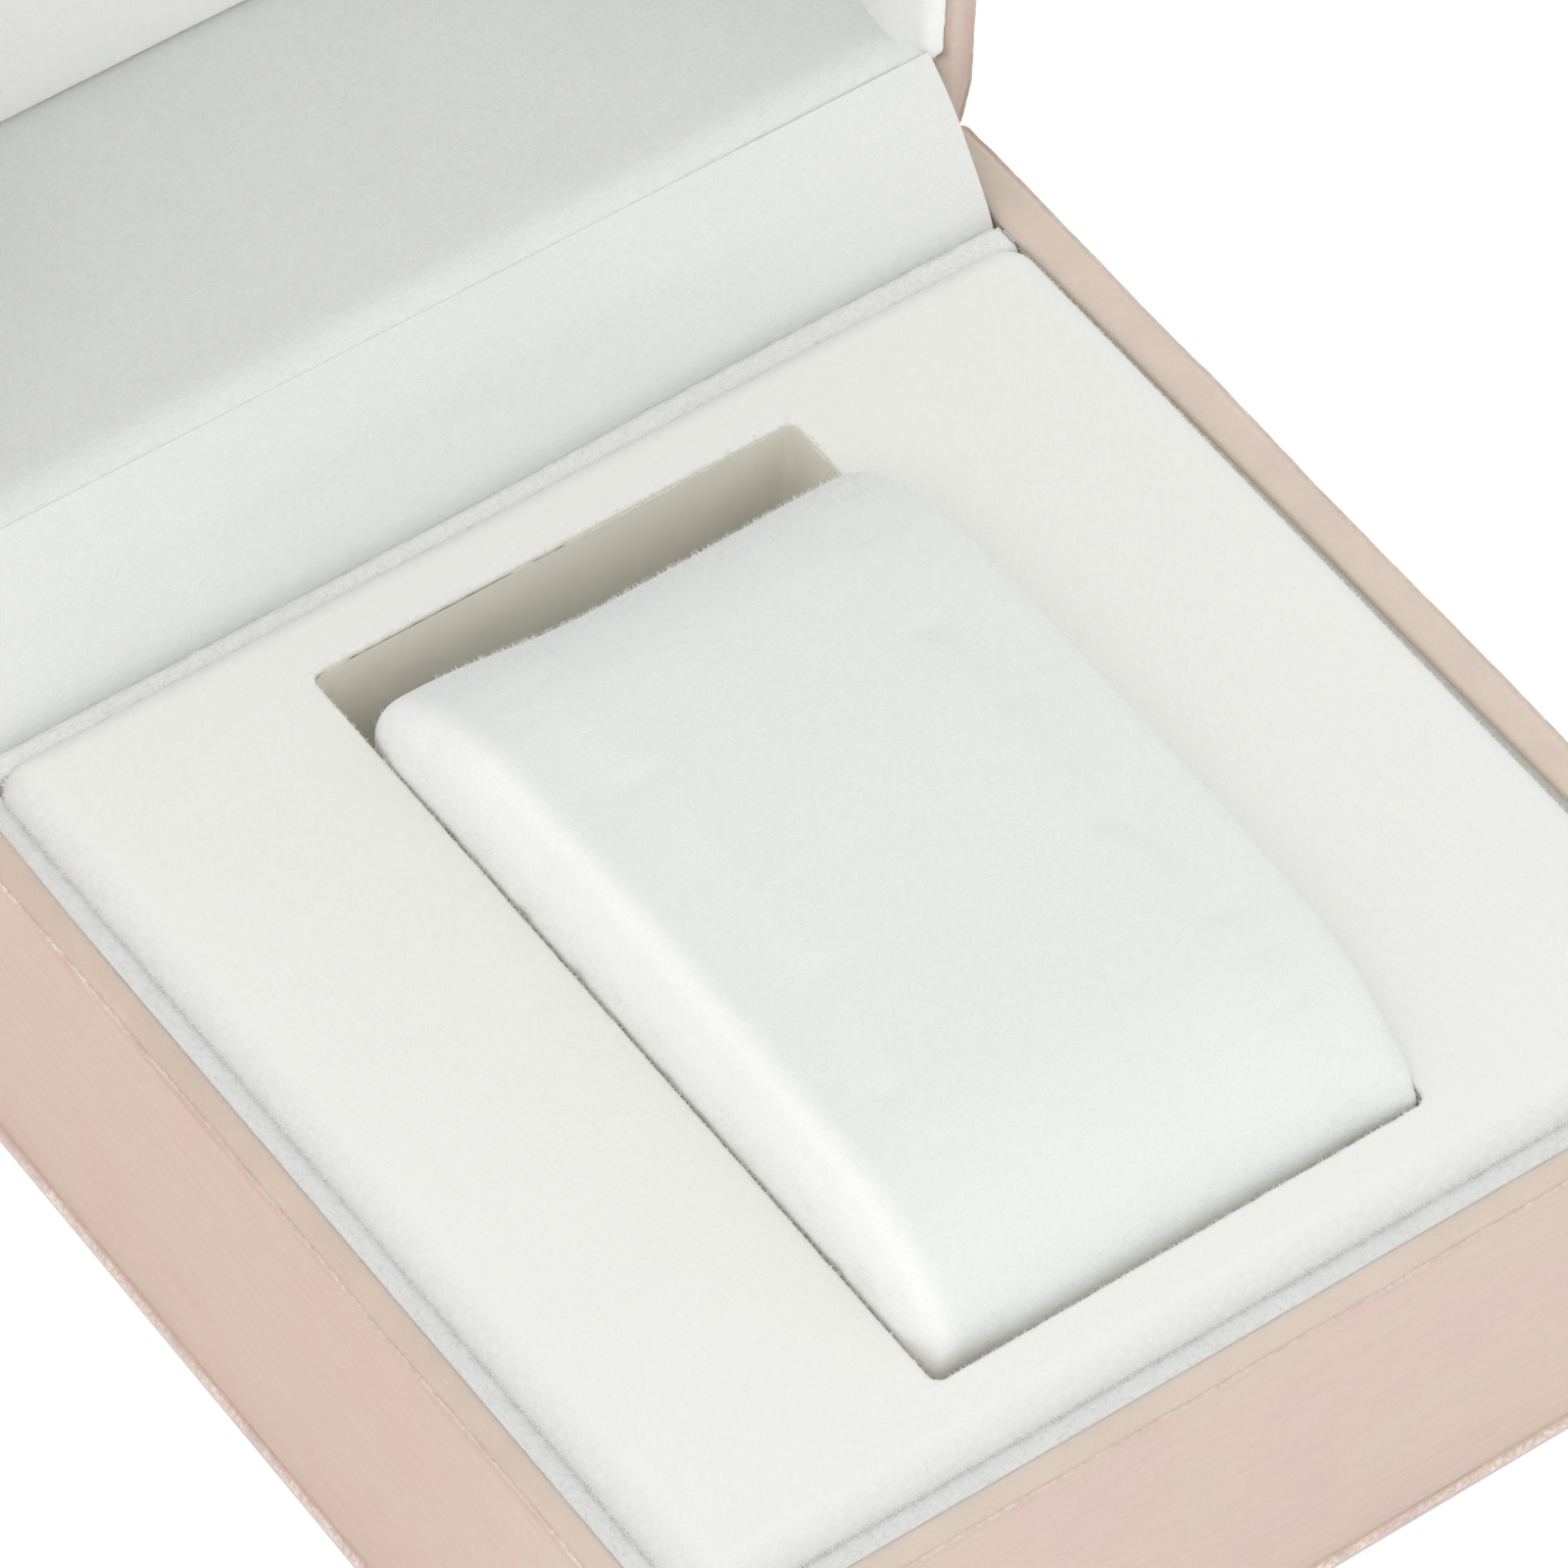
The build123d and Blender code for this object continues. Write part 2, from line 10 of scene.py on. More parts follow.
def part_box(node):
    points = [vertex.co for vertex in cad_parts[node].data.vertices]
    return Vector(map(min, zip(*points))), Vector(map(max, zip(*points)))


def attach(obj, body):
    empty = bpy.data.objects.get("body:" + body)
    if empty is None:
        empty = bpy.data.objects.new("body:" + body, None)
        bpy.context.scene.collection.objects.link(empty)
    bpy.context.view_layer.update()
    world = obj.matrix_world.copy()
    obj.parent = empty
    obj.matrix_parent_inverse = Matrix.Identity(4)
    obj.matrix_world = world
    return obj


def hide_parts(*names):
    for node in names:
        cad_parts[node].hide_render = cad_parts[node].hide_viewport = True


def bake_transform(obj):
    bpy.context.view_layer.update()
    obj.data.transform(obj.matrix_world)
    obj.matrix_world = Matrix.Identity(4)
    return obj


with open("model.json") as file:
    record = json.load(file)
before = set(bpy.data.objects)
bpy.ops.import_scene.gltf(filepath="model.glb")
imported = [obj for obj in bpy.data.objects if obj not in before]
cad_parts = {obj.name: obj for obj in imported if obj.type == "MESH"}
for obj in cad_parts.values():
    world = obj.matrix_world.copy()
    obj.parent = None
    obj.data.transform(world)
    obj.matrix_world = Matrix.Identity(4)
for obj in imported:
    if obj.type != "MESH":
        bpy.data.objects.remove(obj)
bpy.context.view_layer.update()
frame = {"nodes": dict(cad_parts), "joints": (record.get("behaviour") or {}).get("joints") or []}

# Lengths in this script are millimetres. put() turns them into metres when a mesh is made.
MM = 0.001
scene = bpy.context.scene


# ---- sizes that come from the frame
def box_mm(node):
    low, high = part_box(node)
    return Vector(low) / MM, Vector(high) / MM


hinge = [joint for joint in frame["joints"] if joint["name"] == "lid_hinge"][0]
HINGE_Y = hinge["pos_m"][1] / MM
HINGE_Z = hinge["pos_m"][2] / MM


def shut_box(node):
    """Box of a lid node turned back to the shut lid."""
    low, high = box_mm(node)
    shut_low = Vector((low.x, HINGE_Y + HINGE_Z - high.z, HINGE_Z + low.y - HINGE_Y))
    shut_high = Vector((high.x, HINGE_Y + HINGE_Z - low.z, HINGE_Z + high.y - HINGE_Y))
    return shut_low, shut_high


hinge_point = Vector((0, HINGE_Y, HINGE_Z)) * MM
swing = Matrix.Rotation(-pi / 2, 4, "X")
OPEN_LID = Matrix.Translation(hinge_point) @ swing @ Matrix.Translation(-hinge_point)

wrap_low, wrap_high = box_mm("base_leatherette")
shell_high = box_mm("base_shell")[1]
lid_low, lid_high = shut_box("lid_leatherette")
HALF_X = wrap_high.x
HALF_Y = wrap_high.y
RIM_Z = wrap_high.z
WALL_FOOT = wrap_low.z
SKIN = wrap_high.x - shell_high.x
INNER_X = -box_mm("base_velvet_left")[0].x
RIM = HALF_X - INNER_X
LID_RIM_Z = lid_low.z
LID_TOP_Z = lid_high.z
bar_low = box_mm("base_velvet_rear")[0]
insert_low, insert_high = box_mm("insert_cover")
pillow_low, pillow_high = box_mm("pillow_cover")
lid_panel_low = box_mm("lid_velvet_rear")[0]

# ---- sizes that the frame doesn't give
CORNER = 1.0  # radius of the upright outer corners
LID_TOP_RADIUS = 1.2
LID_TOP_STEPS = 6
TURN_IN = 9.0  # how far the wraps run down inside the rims
REAR_DROP = 1.2  # rear walls start this far from the hinge axis
LID_RELIEF_LENGTH = 6.3  # the lid's side rims rise along this length beside the hinge
LID_RELIEF_DROP = 1.1
LID_TUCK = 1.05  # how far the lid's turned-in wrap stands in beside the hinge
INSERT_SKIN = 0.5
INSERT_EDGE = 2.3  # height of the pad's rolled edge
INSERT_ROLL = 3.2  # how far in from its side the pad starts to fall
INSERT_CORNER = 2.6
WINDOW_HALF = (21.3, 37.9)
WINDOW_CENTRE = (-0.65, -3.95)
WINDOW_RADIUS = 1.0
WINDOW_LIP = 0.30  # the cover starts to turn down this far from the window
VELVET = 0.45
LID_SIDE_TRIM = 0.7  # how far the lid's side linings stop short of the hinge
RIGHT_STRIP_DROP = 0.5  # how much lower the base's right lining stands
BAR_BACK = 0.45  # how far the rear lining's velvet stands back over the hinge channel
SEAM_BAND = (2.5, 1.85)  # the seam's fibres grow between these depths below the pad's top
SHUT_GAP = 1.82  # and their tips stay this far below it, clear of the shut lid's linings
SHARP = radians(52)  # edges turned more than this look sharp


# ---- mesh helpers
def put(name, points, faces, body, material, replaced=(), lid=False, marks=None):
    """Mesh object in metres that rides on a body. Lid pieces are made shut and swung open.

    marks holds named values from 0 to 1 for each point, which the materials read."""
    mesh = bpy.data.meshes.new(name)
    mesh.from_pydata([Vector(p) * MM for p in points], [], faces)
    for mark, values in (marks or {}).items():
        mesh.attributes.new(mark, "FLOAT", "POINT").data.foreach_set("value", values)
    if lid:
        mesh.transform(OPEN_LID)
    bm = bmesh.new()
    bm.from_mesh(mesh)
    bmesh.ops.remove_doubles(bm, verts=bm.verts, dist=1e-7)
    bmesh.ops.recalc_face_normals(bm, faces=bm.faces)
    bm.to_mesh(mesh)
    bm.free()
    mesh.polygons.foreach_set("use_smooth", [True] * len(mesh.polygons))
    mesh.set_sharp_from_angle(angle=SHARP)
    mesh.materials.append(material)
    piece = bpy.data.objects.new(name, mesh)
    scene.collection.objects.link(piece)
    if body:
        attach(piece, body)
    if replaced:
        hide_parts(*replaced)
    return piece


def wave(x, y, z, pitch, seed=0.0):
    """Smooth noise from -1 to 1 with the given pitch in millimetres."""
    return noise.noise(Vector((x / pitch + seed, y / pitch - seed, z / pitch + 2 * seed)))


def smooth_step(value, low, high):
    """0 up to low, 1 from high on, and a soft rise between them."""
    share = min(1.0, max(0.0, (value - low) / (high - low)))
    return share * share * (3 - 2 * share)


def ring(half_x, half_y, radius, inset, counts, centre=(0.0, 0.0)):
    """Points round a rounded rectangle, anticlockwise from the front end of its right side."""
    along_x, along_y, around = counts
    r = max(radius - inset, 0.04)
    ax = half_x - inset - r
    ay = half_y - inset - r
    sides = [
        (Vector((ax + r, -ay)), Vector((ax + r, ay)), along_y, Vector((ax, ay)), 0),
        (Vector((ax, ay + r)), Vector((-ax, ay + r)), along_x, Vector((-ax, ay)), 1),
        (Vector((-ax - r, ay)), Vector((-ax - r, -ay)), along_y, Vector((-ax, -ay)), 2),
        (Vector((-ax, -ay - r)), Vector((ax, -ay - r)), along_x, Vector((ax, -ay)), 3),
    ]
    points = []
    for start, end, count, corner, quarter in sides:
        for i in range(count):
            points.append(start.lerp(end, i / count))
        for i in range(around):
            angle = (quarter + i / around) * pi / 2
            points.append(corner + Vector((cos(angle), sin(angle))) * r)
    return [(p.x + centre[0], p.y + centre[1]) for p in points]


def loft(loops, closed_profile=False, caps=False, gap=None):
    """Quads between loops of equal length. A closed profile joins the last loop to the first,
    and the loop with the number gap isn't joined to the next one."""
    count = len(loops[0])
    points = [p for loop in loops for p in loop]
    faces = []
    for k in range(len(loops) if closed_profile else len(loops) - 1):
        if k == gap:
            continue
        a = k * count
        b = (k + 1) % len(loops) * count
        for i in range(count):
            j = (i + 1) % count
            faces.append((a + i, a + j, b + j, b + i))
    if caps:
        faces.append(tuple(range(count)))
        faces.append(tuple(range(len(points) - count, len(points))))
    return points, faces


def arc(centre, radius, start, end, steps):
    """Points of an arc, angles in degrees."""
    out = []
    for i in range(steps + 1):
        angle = radians(start + (end - start) * i / steps)
        out.append((centre[0] + radius * cos(angle), centre[1] + radius * sin(angle)))
    return out


def bezier(a, b, c, d, steps):
    """Points of a cubic curve from a towards d, without d itself."""
    out = []
    for i in range(steps):
        t = i / steps
        s = 1 - t
        out.append(tuple(s**3 * p + 3 * s * s * t * q + 3 * s * t * t * r + t**3 * w
                         for p, q, r, w in zip(a, b, c, d)))
    return out


# ---- materials
def new_material(name):
    material = bpy.data.materials.new(name)
    material.use_nodes = True
    tree = material.node_tree
    shader = tree.nodes["Principled BSDF"]
    place = tree.nodes.new("ShaderNodeTexCoord")
    scale = tree.nodes.new("ShaderNodeVectorMath")
    scale.operation = "SCALE"
    scale.inputs["Scale"].default_value = 1 / MM
    tree.links.new(place.outputs["Object"], scale.inputs[0])
    return material, tree, shader, scale.outputs[0]


def add_noise(tree, where, pitch, detail=2.0, roughness=0.5, stretch=(1, 1, 1)):
    """Noise whose features are about pitch millimetres across."""
    source = where
    if stretch != (1, 1, 1):
        mapping = tree.nodes.new("ShaderNodeMapping")
        mapping.inputs["Scale"].default_value = stretch
        tree.links.new(where, mapping.inputs["Vector"])
        source = mapping.outputs[0]
    node = tree.nodes.new("ShaderNodeTexNoise")
    node.inputs["Scale"].default_value = 1 / pitch
    node.inputs["Detail"].default_value = detail
    node.inputs["Roughness"].default_value = roughness
    tree.links.new(source, node.inputs["Vector"])
    return node.outputs["Fac"]


def add_ramp(tree, source, stops):
    """Colour ramp with (position, colour) stops."""
    ramp = tree.nodes.new("ShaderNodeValToRGB")
    elements = ramp.color_ramp.elements
    while len(elements) < len(stops):
        elements.new(0.5)
    for element, (position, colour) in zip(elements, stops):
        element.position = position
        element.color = (*colour, 1)
    tree.links.new(source, ramp.inputs[0])
    return ramp.outputs[0]


def add_shades(tree, source, colour, contrast, spread=0.2):
    """Ramp about the middle of a noise, from a darker to a paler shade of the colour."""
    dark = tuple(min(1.0, c * (1 - contrast)) for c in colour)
    pale = tuple(min(1.0, c * (1 + contrast)) for c in colour)
    return add_ramp(tree, source, [(0.5 - spread, dark), (0.5 + spread, pale)])


def add_greys(tree, source, *stops):
    return add_ramp(tree, source, [(position, (grey,) * 3) for position, grey in stops])


def add_mix(tree, factor, first, second, kind="MIX"):
    mix = tree.nodes.new("ShaderNodeMix")
    mix.data_type = "RGBA"
    mix.blend_type = kind
    for value, socket in ((factor, mix.inputs[0]), (first, mix.inputs[6]), (second, mix.inputs[7])):
        if isinstance(value, bpy.types.NodeSocket):
            tree.links.new(value, socket)
        elif isinstance(value, (int, float)):
            socket.default_value = value
        else:
            socket.default_value = (*value, 1)
    return mix.outputs[2]


def add_product(tree, first, second):
    return add_mix(tree, 1.0, first, second, "MULTIPLY")


def add_mark(tree, name):
    """Value that put() stored on the mesh's points."""
    node = tree.nodes.new("ShaderNodeAttribute")
    node.attribute_type = "GEOMETRY"
    node.attribute_name = name
    return node.outputs["Fac"]


def add_bumps(tree, shader, layers):
    """Chain of bumps from (height source, depth in millimetres) layers."""
    previous = None
    for source, depth in layers:
        bump = tree.nodes.new("ShaderNodeBump")
        bump.inputs["Strength"].default_value = 1.0
        bump.inputs["Distance"].default_value = depth * MM
        tree.links.new(source, bump.inputs["Height"])
        if previous is not None:
            tree.links.new(previous, bump.inputs["Normal"])
        previous = bump.outputs[0]
    tree.links.new(previous, shader.inputs["Normal"])


def velvet_material(name, colour, mottle, depth, sheen=0.3, painted_edge_colour=None, fuzz=0.15):
    """Short-pile velvet: fine pile, soft mottling where the nap lies differently.

    With a painted edge colour, it paints a lighter or darker copy of the velvet where the mesh's
    "edge" mark says, as painted light or shade on that edge; fuzz is how ragged its border is."""
    material, tree, shader, where = new_material(name)
    pile = add_noise(tree, where, 0.2, 3.0, 0.7)
    tufts = add_noise(tree, where, 0.7, 3.0, 0.6)
    nap = add_noise(tree, where, 9.0, 3.0, 0.5)
    fine = add_shades(tree, pile, colour, 1.6 * mottle, 0.14)
    soft = add_shades(tree, tufts, colour, mottle)
    wide = add_shades(tree, nap, colour, 0.5 * mottle, 0.15)
    near = add_mix(tree, 0.4, fine, soft)
    plain = add_mix(tree, 0.3, near, wide)
    # painted light or shade: the edge colour stands in for how the light falls on that edge of the velvet
    if painted_edge_colour:
        tint = tuple(e / c for e, c in zip(painted_edge_colour, colour))
        turned = add_product(tree, plain, tint)
        patchy = add_greys(tree, add_noise(tree, where, 0.5, 3.0, 0.7), (0.38, 1 - fuzz), (0.6, 1))
        share = add_product(tree, add_mark(tree, "edge"), patchy)
        plain = add_mix(tree, share, plain, turned)
    tree.links.new(plain, shader.inputs["Base Color"])
    shader.inputs["Roughness"].default_value = 0.95
    shader.inputs["Specular IOR Level"].default_value = 0.1
    shader.inputs["Sheen Weight"].default_value = sheen
    shader.inputs["Sheen Roughness"].default_value = 0.4
    shader.inputs["Sheen Tint"].default_value = (1, 1, 1, 1)
    add_bumps(tree, shader, [(tufts, depth * 1.2), (pile, depth)])
    return material


def leatherette_material(name, stretch):
    """Pearl leatherette: fine grain with painted glints and faint streaks, painted shade on the rim's
    top band and at the left side, and painted highlights along the creases."""
    material, tree, shader, where = new_material(name)
    # the first two colours vary at random; the others are painted: a shade tint for the left side, the rim
    # top's painted shade in tan and cream, painted glints and the creases' painted highlight
    beige = (0.600, 0.487, 0.413)
    pink = (0.608, 0.462, 0.412)
    shade_tint = (0.965, 0.885, 0.845)
    tan = (0.665, 0.530, 0.445)
    cream = (0.715, 0.605, 0.515)
    glint = (0.84, 0.74, 0.67)
    bare = (0.88, 0.78, 0.69)
    grain = add_noise(tree, where, 0.16, 4.0, 0.7)
    fleck = add_noise(tree, where, 0.13, 2.0, 0.8)
    streak = add_noise(tree, where, 0.9, 3.0, 0.65, stretch)
    cloud = add_noise(tree, where, 11.0, 3.0, 0.6)
    clouded = add_ramp(tree, cloud, [(0.38, beige), (0.62, pink)])
    # painted shade: the left side's walls get a darker, pinker tint, and its rim a tan instead of cream
    shaded_wall = add_product(tree, clouded, shade_tint)
    wall = add_mix(tree, add_mark(tree, "cream"), shaded_wall, clouded)
    rim = add_mix(tree, add_mark(tree, "cream"), tan, cream)
    # painted shade: the rim's top band gets its own duller colour, standing in for the pearl finish seen face
    # up
    base = add_mix(tree, add_mark(tree, "rim_top_shade"), wall, rim)
    lined = add_product(tree, base, add_greys(tree, streak, (0.35, 0.94), (0.65, 1)))
    grained = add_product(tree, lined, add_greys(tree, grain, (0.35, 0.92), (0.65, 1)))
    # painted glints: bright flecks of the pearl finish, put into the colour
    sparkle = add_greys(tree, fleck, (0.62, 0), (0.74, 0.7))
    glitter = add_mix(tree, sparkle, grained, glint)
    # painted highlight: paler patches along the creases and the fold's bead, where the ridges catch the light
    highlight_patches = add_greys(tree, add_noise(tree, where, 0.45, 3.0, 0.7), (0.4, 0.15), (0.62, 1))
    painted_highlight = add_product(tree, add_mark(tree, "painted_highlight"), highlight_patches)
    highlighted = add_mix(tree, painted_highlight, glitter, bare)
    tree.links.new(highlighted, shader.inputs["Base Color"])
    rough = add_greys(tree, grain, (0.3, 0.36), (0.7, 0.52))
    tree.links.new(rough, shader.inputs["Roughness"])
    shader.inputs["Specular IOR Level"].default_value = 0.45
    shader.inputs["Sheen Weight"].default_value = 0.08
    add_bumps(tree, shader, [(streak, 0.02), (grain, 0.025)])
    return material


def plain_material(name, colour, pitch, contrast, roughness, depth, metal=0.0, stretch=(1, 1, 1)):
    """Board, foam, plastic, paper or metal with its own grain."""
    material, tree, shader, where = new_material(name)
    grain = add_noise(tree, where, pitch, 4.0, 0.6, stretch)
    cloud = add_noise(tree, where, pitch * 12, 2.0, 0.5)
    fine = add_shades(tree, grain, colour, contrast)
    wide = add_shades(tree, cloud, colour, contrast)
    tree.links.new(add_mix(tree, 0.35, fine, wide), shader.inputs["Base Color"])
    rough = add_greys(tree, grain, (0.3, roughness * 0.85), (0.7, min(1.0, roughness * 1.15)))
    tree.links.new(rough, shader.inputs["Roughness"])
    shader.inputs["Metallic"].default_value = metal
    add_bumps(tree, shader, [(grain, depth)])
    return material


# along the box the streaks are long, and across the height of its walls they are short; the
# lid's walls stand along Y when it is open
LEATHERETTE = leatherette_material("pearl_leatherette", (0.14, 0.14, 1.7))
LID_LEATHERETTE = leatherette_material("lid_leatherette", (0.14, 1.7, 0.14))
# painted shade: the darker edge colour shades the pad's rolled edge
WHITE_VELVET = velvet_material(
    "white_velvet", (0.82, 0.82, 0.79), 0.02, 0.04, 0.2, painted_edge_colour=(0.71, 0.715, 0.70), fuzz=0.45)
# painted light: the paler edge colour brightens the pillow's left side
PILLOW_VELVET = velvet_material(
    "pillow_velvet", (0.775, 0.79, 0.775), 0.03, 0.05, 0.25, painted_edge_colour=(0.88, 0.885, 0.87))
# painted highlight: the paler edge colour brightens the panel along its lower edge
PANEL_VELVET = velvet_material(
    "panel_velvet", (0.715, 0.722, 0.712), 0.05, 0.06, painted_edge_colour=(0.85, 0.86, 0.85))
# painted shade: the darker edge colour shades the flap's foot beside the rear lining
FLAP_VELVET = velvet_material(
    "flap_velvet", (0.775, 0.785, 0.765), 0.035, 0.05, painted_edge_colour=(0.67, 0.68, 0.665))
STRIP_VELVET = velvet_material("strip_velvet", (0.73, 0.738, 0.722), 0.05, 0.06)
BAR_VELVET = velvet_material("bar_velvet", (0.83, 0.835, 0.83), 0.09, 0.1)
SIDE_VELVET = velvet_material("pale_velvet", (0.92, 0.925, 0.92), 0.03, 0.05)
CEILING_VELVET = velvet_material("ceiling_velvet", (0.87, 0.875, 0.865), 0.03, 0.05)
# painted light: the seam's fibres are paler than the pad's velvet, which lifts the shade in the seam
SEAM_VELVET = velvet_material("seam_velvet", (0.90, 0.905, 0.89), 0.06, 0.05, 0.2)
CUT_FOAM = plain_material("cut_foam", (0.93, 0.895, 0.79), 0.35, 0.02, 0.9, 0.05)
CUT_EDGE = plain_material("cut_edge", (0.88, 0.85, 0.74), 0.3, 0.04, 0.85, 0.05)
BOARD = plain_material("grey_board", (0.55, 0.53, 0.49), 0.5, 0.08, 0.85, 0.04)
PLASTIC = plain_material("shell_plastic", (0.72, 0.71, 0.68), 0.8, 0.03, 0.5, 0.01)
PAPER = plain_material("bottom_paper", (0.56, 0.53, 0.57), 0.5, 0.05, 0.8, 0.02)
STEEL = plain_material("hinge_steel", (0.60, 0.60, 0.60), 0.12, 0.08, 0.35, 0.006, 1.0, (0.05, 1, 1))
BRASS = plain_material("rivet_brass", (0.72, 0.55, 0.28), 0.2, 0.08, 0.35, 0.006, 1.0)


def dress(node, material):
    """Gives a CAD node that stays a better material."""
    cad = frame["nodes"][node]
    if not cad.material_slots:
        cad.data.materials.append(material)
    for cad_slot in cad.material_slots:
        cad_slot.link = "OBJECT"
        cad_slot.material = material


for node_name in frame["nodes"]:
    if "card" in node_name or node_name == "base_plate":
        dress(node_name, BOARD)
    elif "rivets" in node_name:
        dress(node_name, BRASS)
    elif node_name.startswith("hinge_") or node_name == "bow_springs":
        dress(node_name, STEEL)
    elif "shell" in node_name:
        dress(node_name, PLASTIC)
    elif "foam" in node_name:
        dress(node_name, CUT_FOAM)
dress("base_sheet", PAPER)
dress("well_floor", WHITE_VELVET)

# ---- leatherette skins
SKIN_COUNTS = (260, 270, 8)

# Turned edge of the wrap at a rim, as (inset from the outer face, depth below the rim): a fine
# raised crease at the outer corner, then the flat band.
TURNED_EDGE = [
    (0.0, 1.6), (0.0, 0.9), (0.0, 0.55), (0.03, 0.32), (0.07, 0.18), (0.12, 0.08), (0.17, 0.0),
    (0.23, -0.03), (0.30, -0.01), (0.37, 0.03), (0.46, 0.06), (0.60, 0.07), (0.75, 0.06),
    (0.95, 0.05), (1.25, 0.03), (1.60, 0.02), (2.0, 0.02), (2.3, 0.05), (2.5, 0.14), (2.62, 0.32),
    (2.65, 0.6),
]
# shares at those of its points that stand up as a crease or get the painted highlight, by their number
CREASE_HEIGHT = {4: 0.15, 5: 0.45, 6: 0.85, 7: 1.0, 8: 0.8, 9: 0.4, 10: 0.12}
SECOND_CREASE = {11: 0.4, 12: 1.0, 13: 0.35}
CREASE_HIGHLIGHT = {4: 0.15, 5: 0.5, 6: 0.8, 7: 1.0, 8: 0.9, 9: 0.5, 10: 0.2}
BAND_START = 14  # number of the first point behind both creases
TUCK_POINTS = 7  # the last points of the edge, which move in with the turned-in wrap


def crease(x, y, seed):
    """How far the wrap stands up where it turns over the rim: uneven, in short runs."""
    run = wave(x, y, 0, 6.0, seed)
    tick = wave(x, y, 0, 1.5, seed + 3)
    return (0.06 + 0.05 * run + 0.05 * tick) * (1 - 0.45 * lit_side_share(x, y))


def turned_edge(index, x, y, seed):
    """Height and sideways wander of the crease at one point, and how much painted highlight it gets there."""
    height = CREASE_HEIGHT.get(index, 0.0) * crease(x, y, seed)
    second = max(0.0, wave(x, y, 0, 9.0, seed + 11)) * 0.16
    height += SECOND_CREASE.get(index, 0.0) * second
    wander = 0.0
    if min(CREASE_HEIGHT) <= index < BAND_START:
        wander = 0.16 * wave(x, y, 0, 11.0, seed + 7) + 0.05 * wave(x, y, 0, 1.6, seed + 9)
    cream = lit_side_share(x, y)
    patches = 0.9 * wave(x, y, 0, 2.2, seed + 5) * (1 - 0.75 * cream)
    painted_highlight = CREASE_HIGHLIGHT.get(index, 0.0) * (0.62 + patches) * (1 - 0.3 * cream)
    painted_highlight += SECOND_CREASE.get(index, 0.0) * second * 4
    return height, wander, min(1.0, max(0.0, painted_highlight))


def rear_level(x, y, level):
    """Rim height: the rear wall between the sides is cut down for the hinge."""
    return level if y > HALF_Y - RIM - 0.6 and abs(x) < INNER_X - 0.02 else 0.0


def lit_side_share(x, y):
    """Share of the lit sides' colours: as painted shade, the turned edge is tan and the walls darker and
    pinker at the left; the turned edge is cream at the front and the right.
    """
    if x > 0 or HALF_Y - abs(y) < HALF_X - abs(x):
        return 0.9
    return 0.15 + 0.5 * smooth_step(-y, 0, HALF_Y)


def towards(x, y, distance):
    """Step square to the nearest wall."""
    if HALF_X - abs(x) < HALF_Y - abs(y):
        return x + (distance if x > 0 else -distance), y
    return x, y + (distance if y > 0 else -distance)


def ripple(x, y, z, seed):
    return 0.05 * wave(x, y, z, 16.0, seed) + 0.012 * wave(x, y, z, 3.0, seed + 2)


def tuck(x, y):
    """How far the turned-in wrap stands in from the side walls: most beside the hinge."""
    beside = smooth_step(y, bar_low.y - 2, bar_low.y + 1.2)
    if x > 0:
        along = 0.35 * smooth_step(y, -45, 0) + 0.4 * smooth_step(y, 0, bar_low.y - 2)
        return 0.35 + along + 0.1 * beside
    return 0.3 * smooth_step(y, 20, bar_low.y) + 0.85 * beside


def skin(name, node, body, material, profile, counts, shape, lid=False, gap=None):
    """Wrap through rings at a profile of (inset, height). shape says where each of their points
    goes, with its marks of painted highlight, the rim's painted shade and the lit sides' share."""
    loops = []
    marks = {"painted_highlight": [], "rim_top_shade": [], "cream": []}
    for k, (inset, level) in enumerate(profile):
        loop = []
        for x, y in ring(HALF_X, HALF_Y, CORNER, inset, counts):
            place, *values = shape(k, inset, level, x, y)
            loop.append(place)
            for mark, value in zip(marks.values(), values):
                mark.append(value)
        loops.append(loop)
    points, faces = loft(loops, closed_profile=True, gap=gap)
    if gap is not None:
        # the two rings at the gap are closed by sheets, outer and inner
        count = len(loops[0])
        inner_start = (gap + 1) * count
        faces.append(tuple(range(inner_start - count, inner_start)))
        faces.append(tuple(reversed(range(inner_start, inner_start + count))))
    put(name, points, faces, body, material, [node], lid=lid, marks=marks)


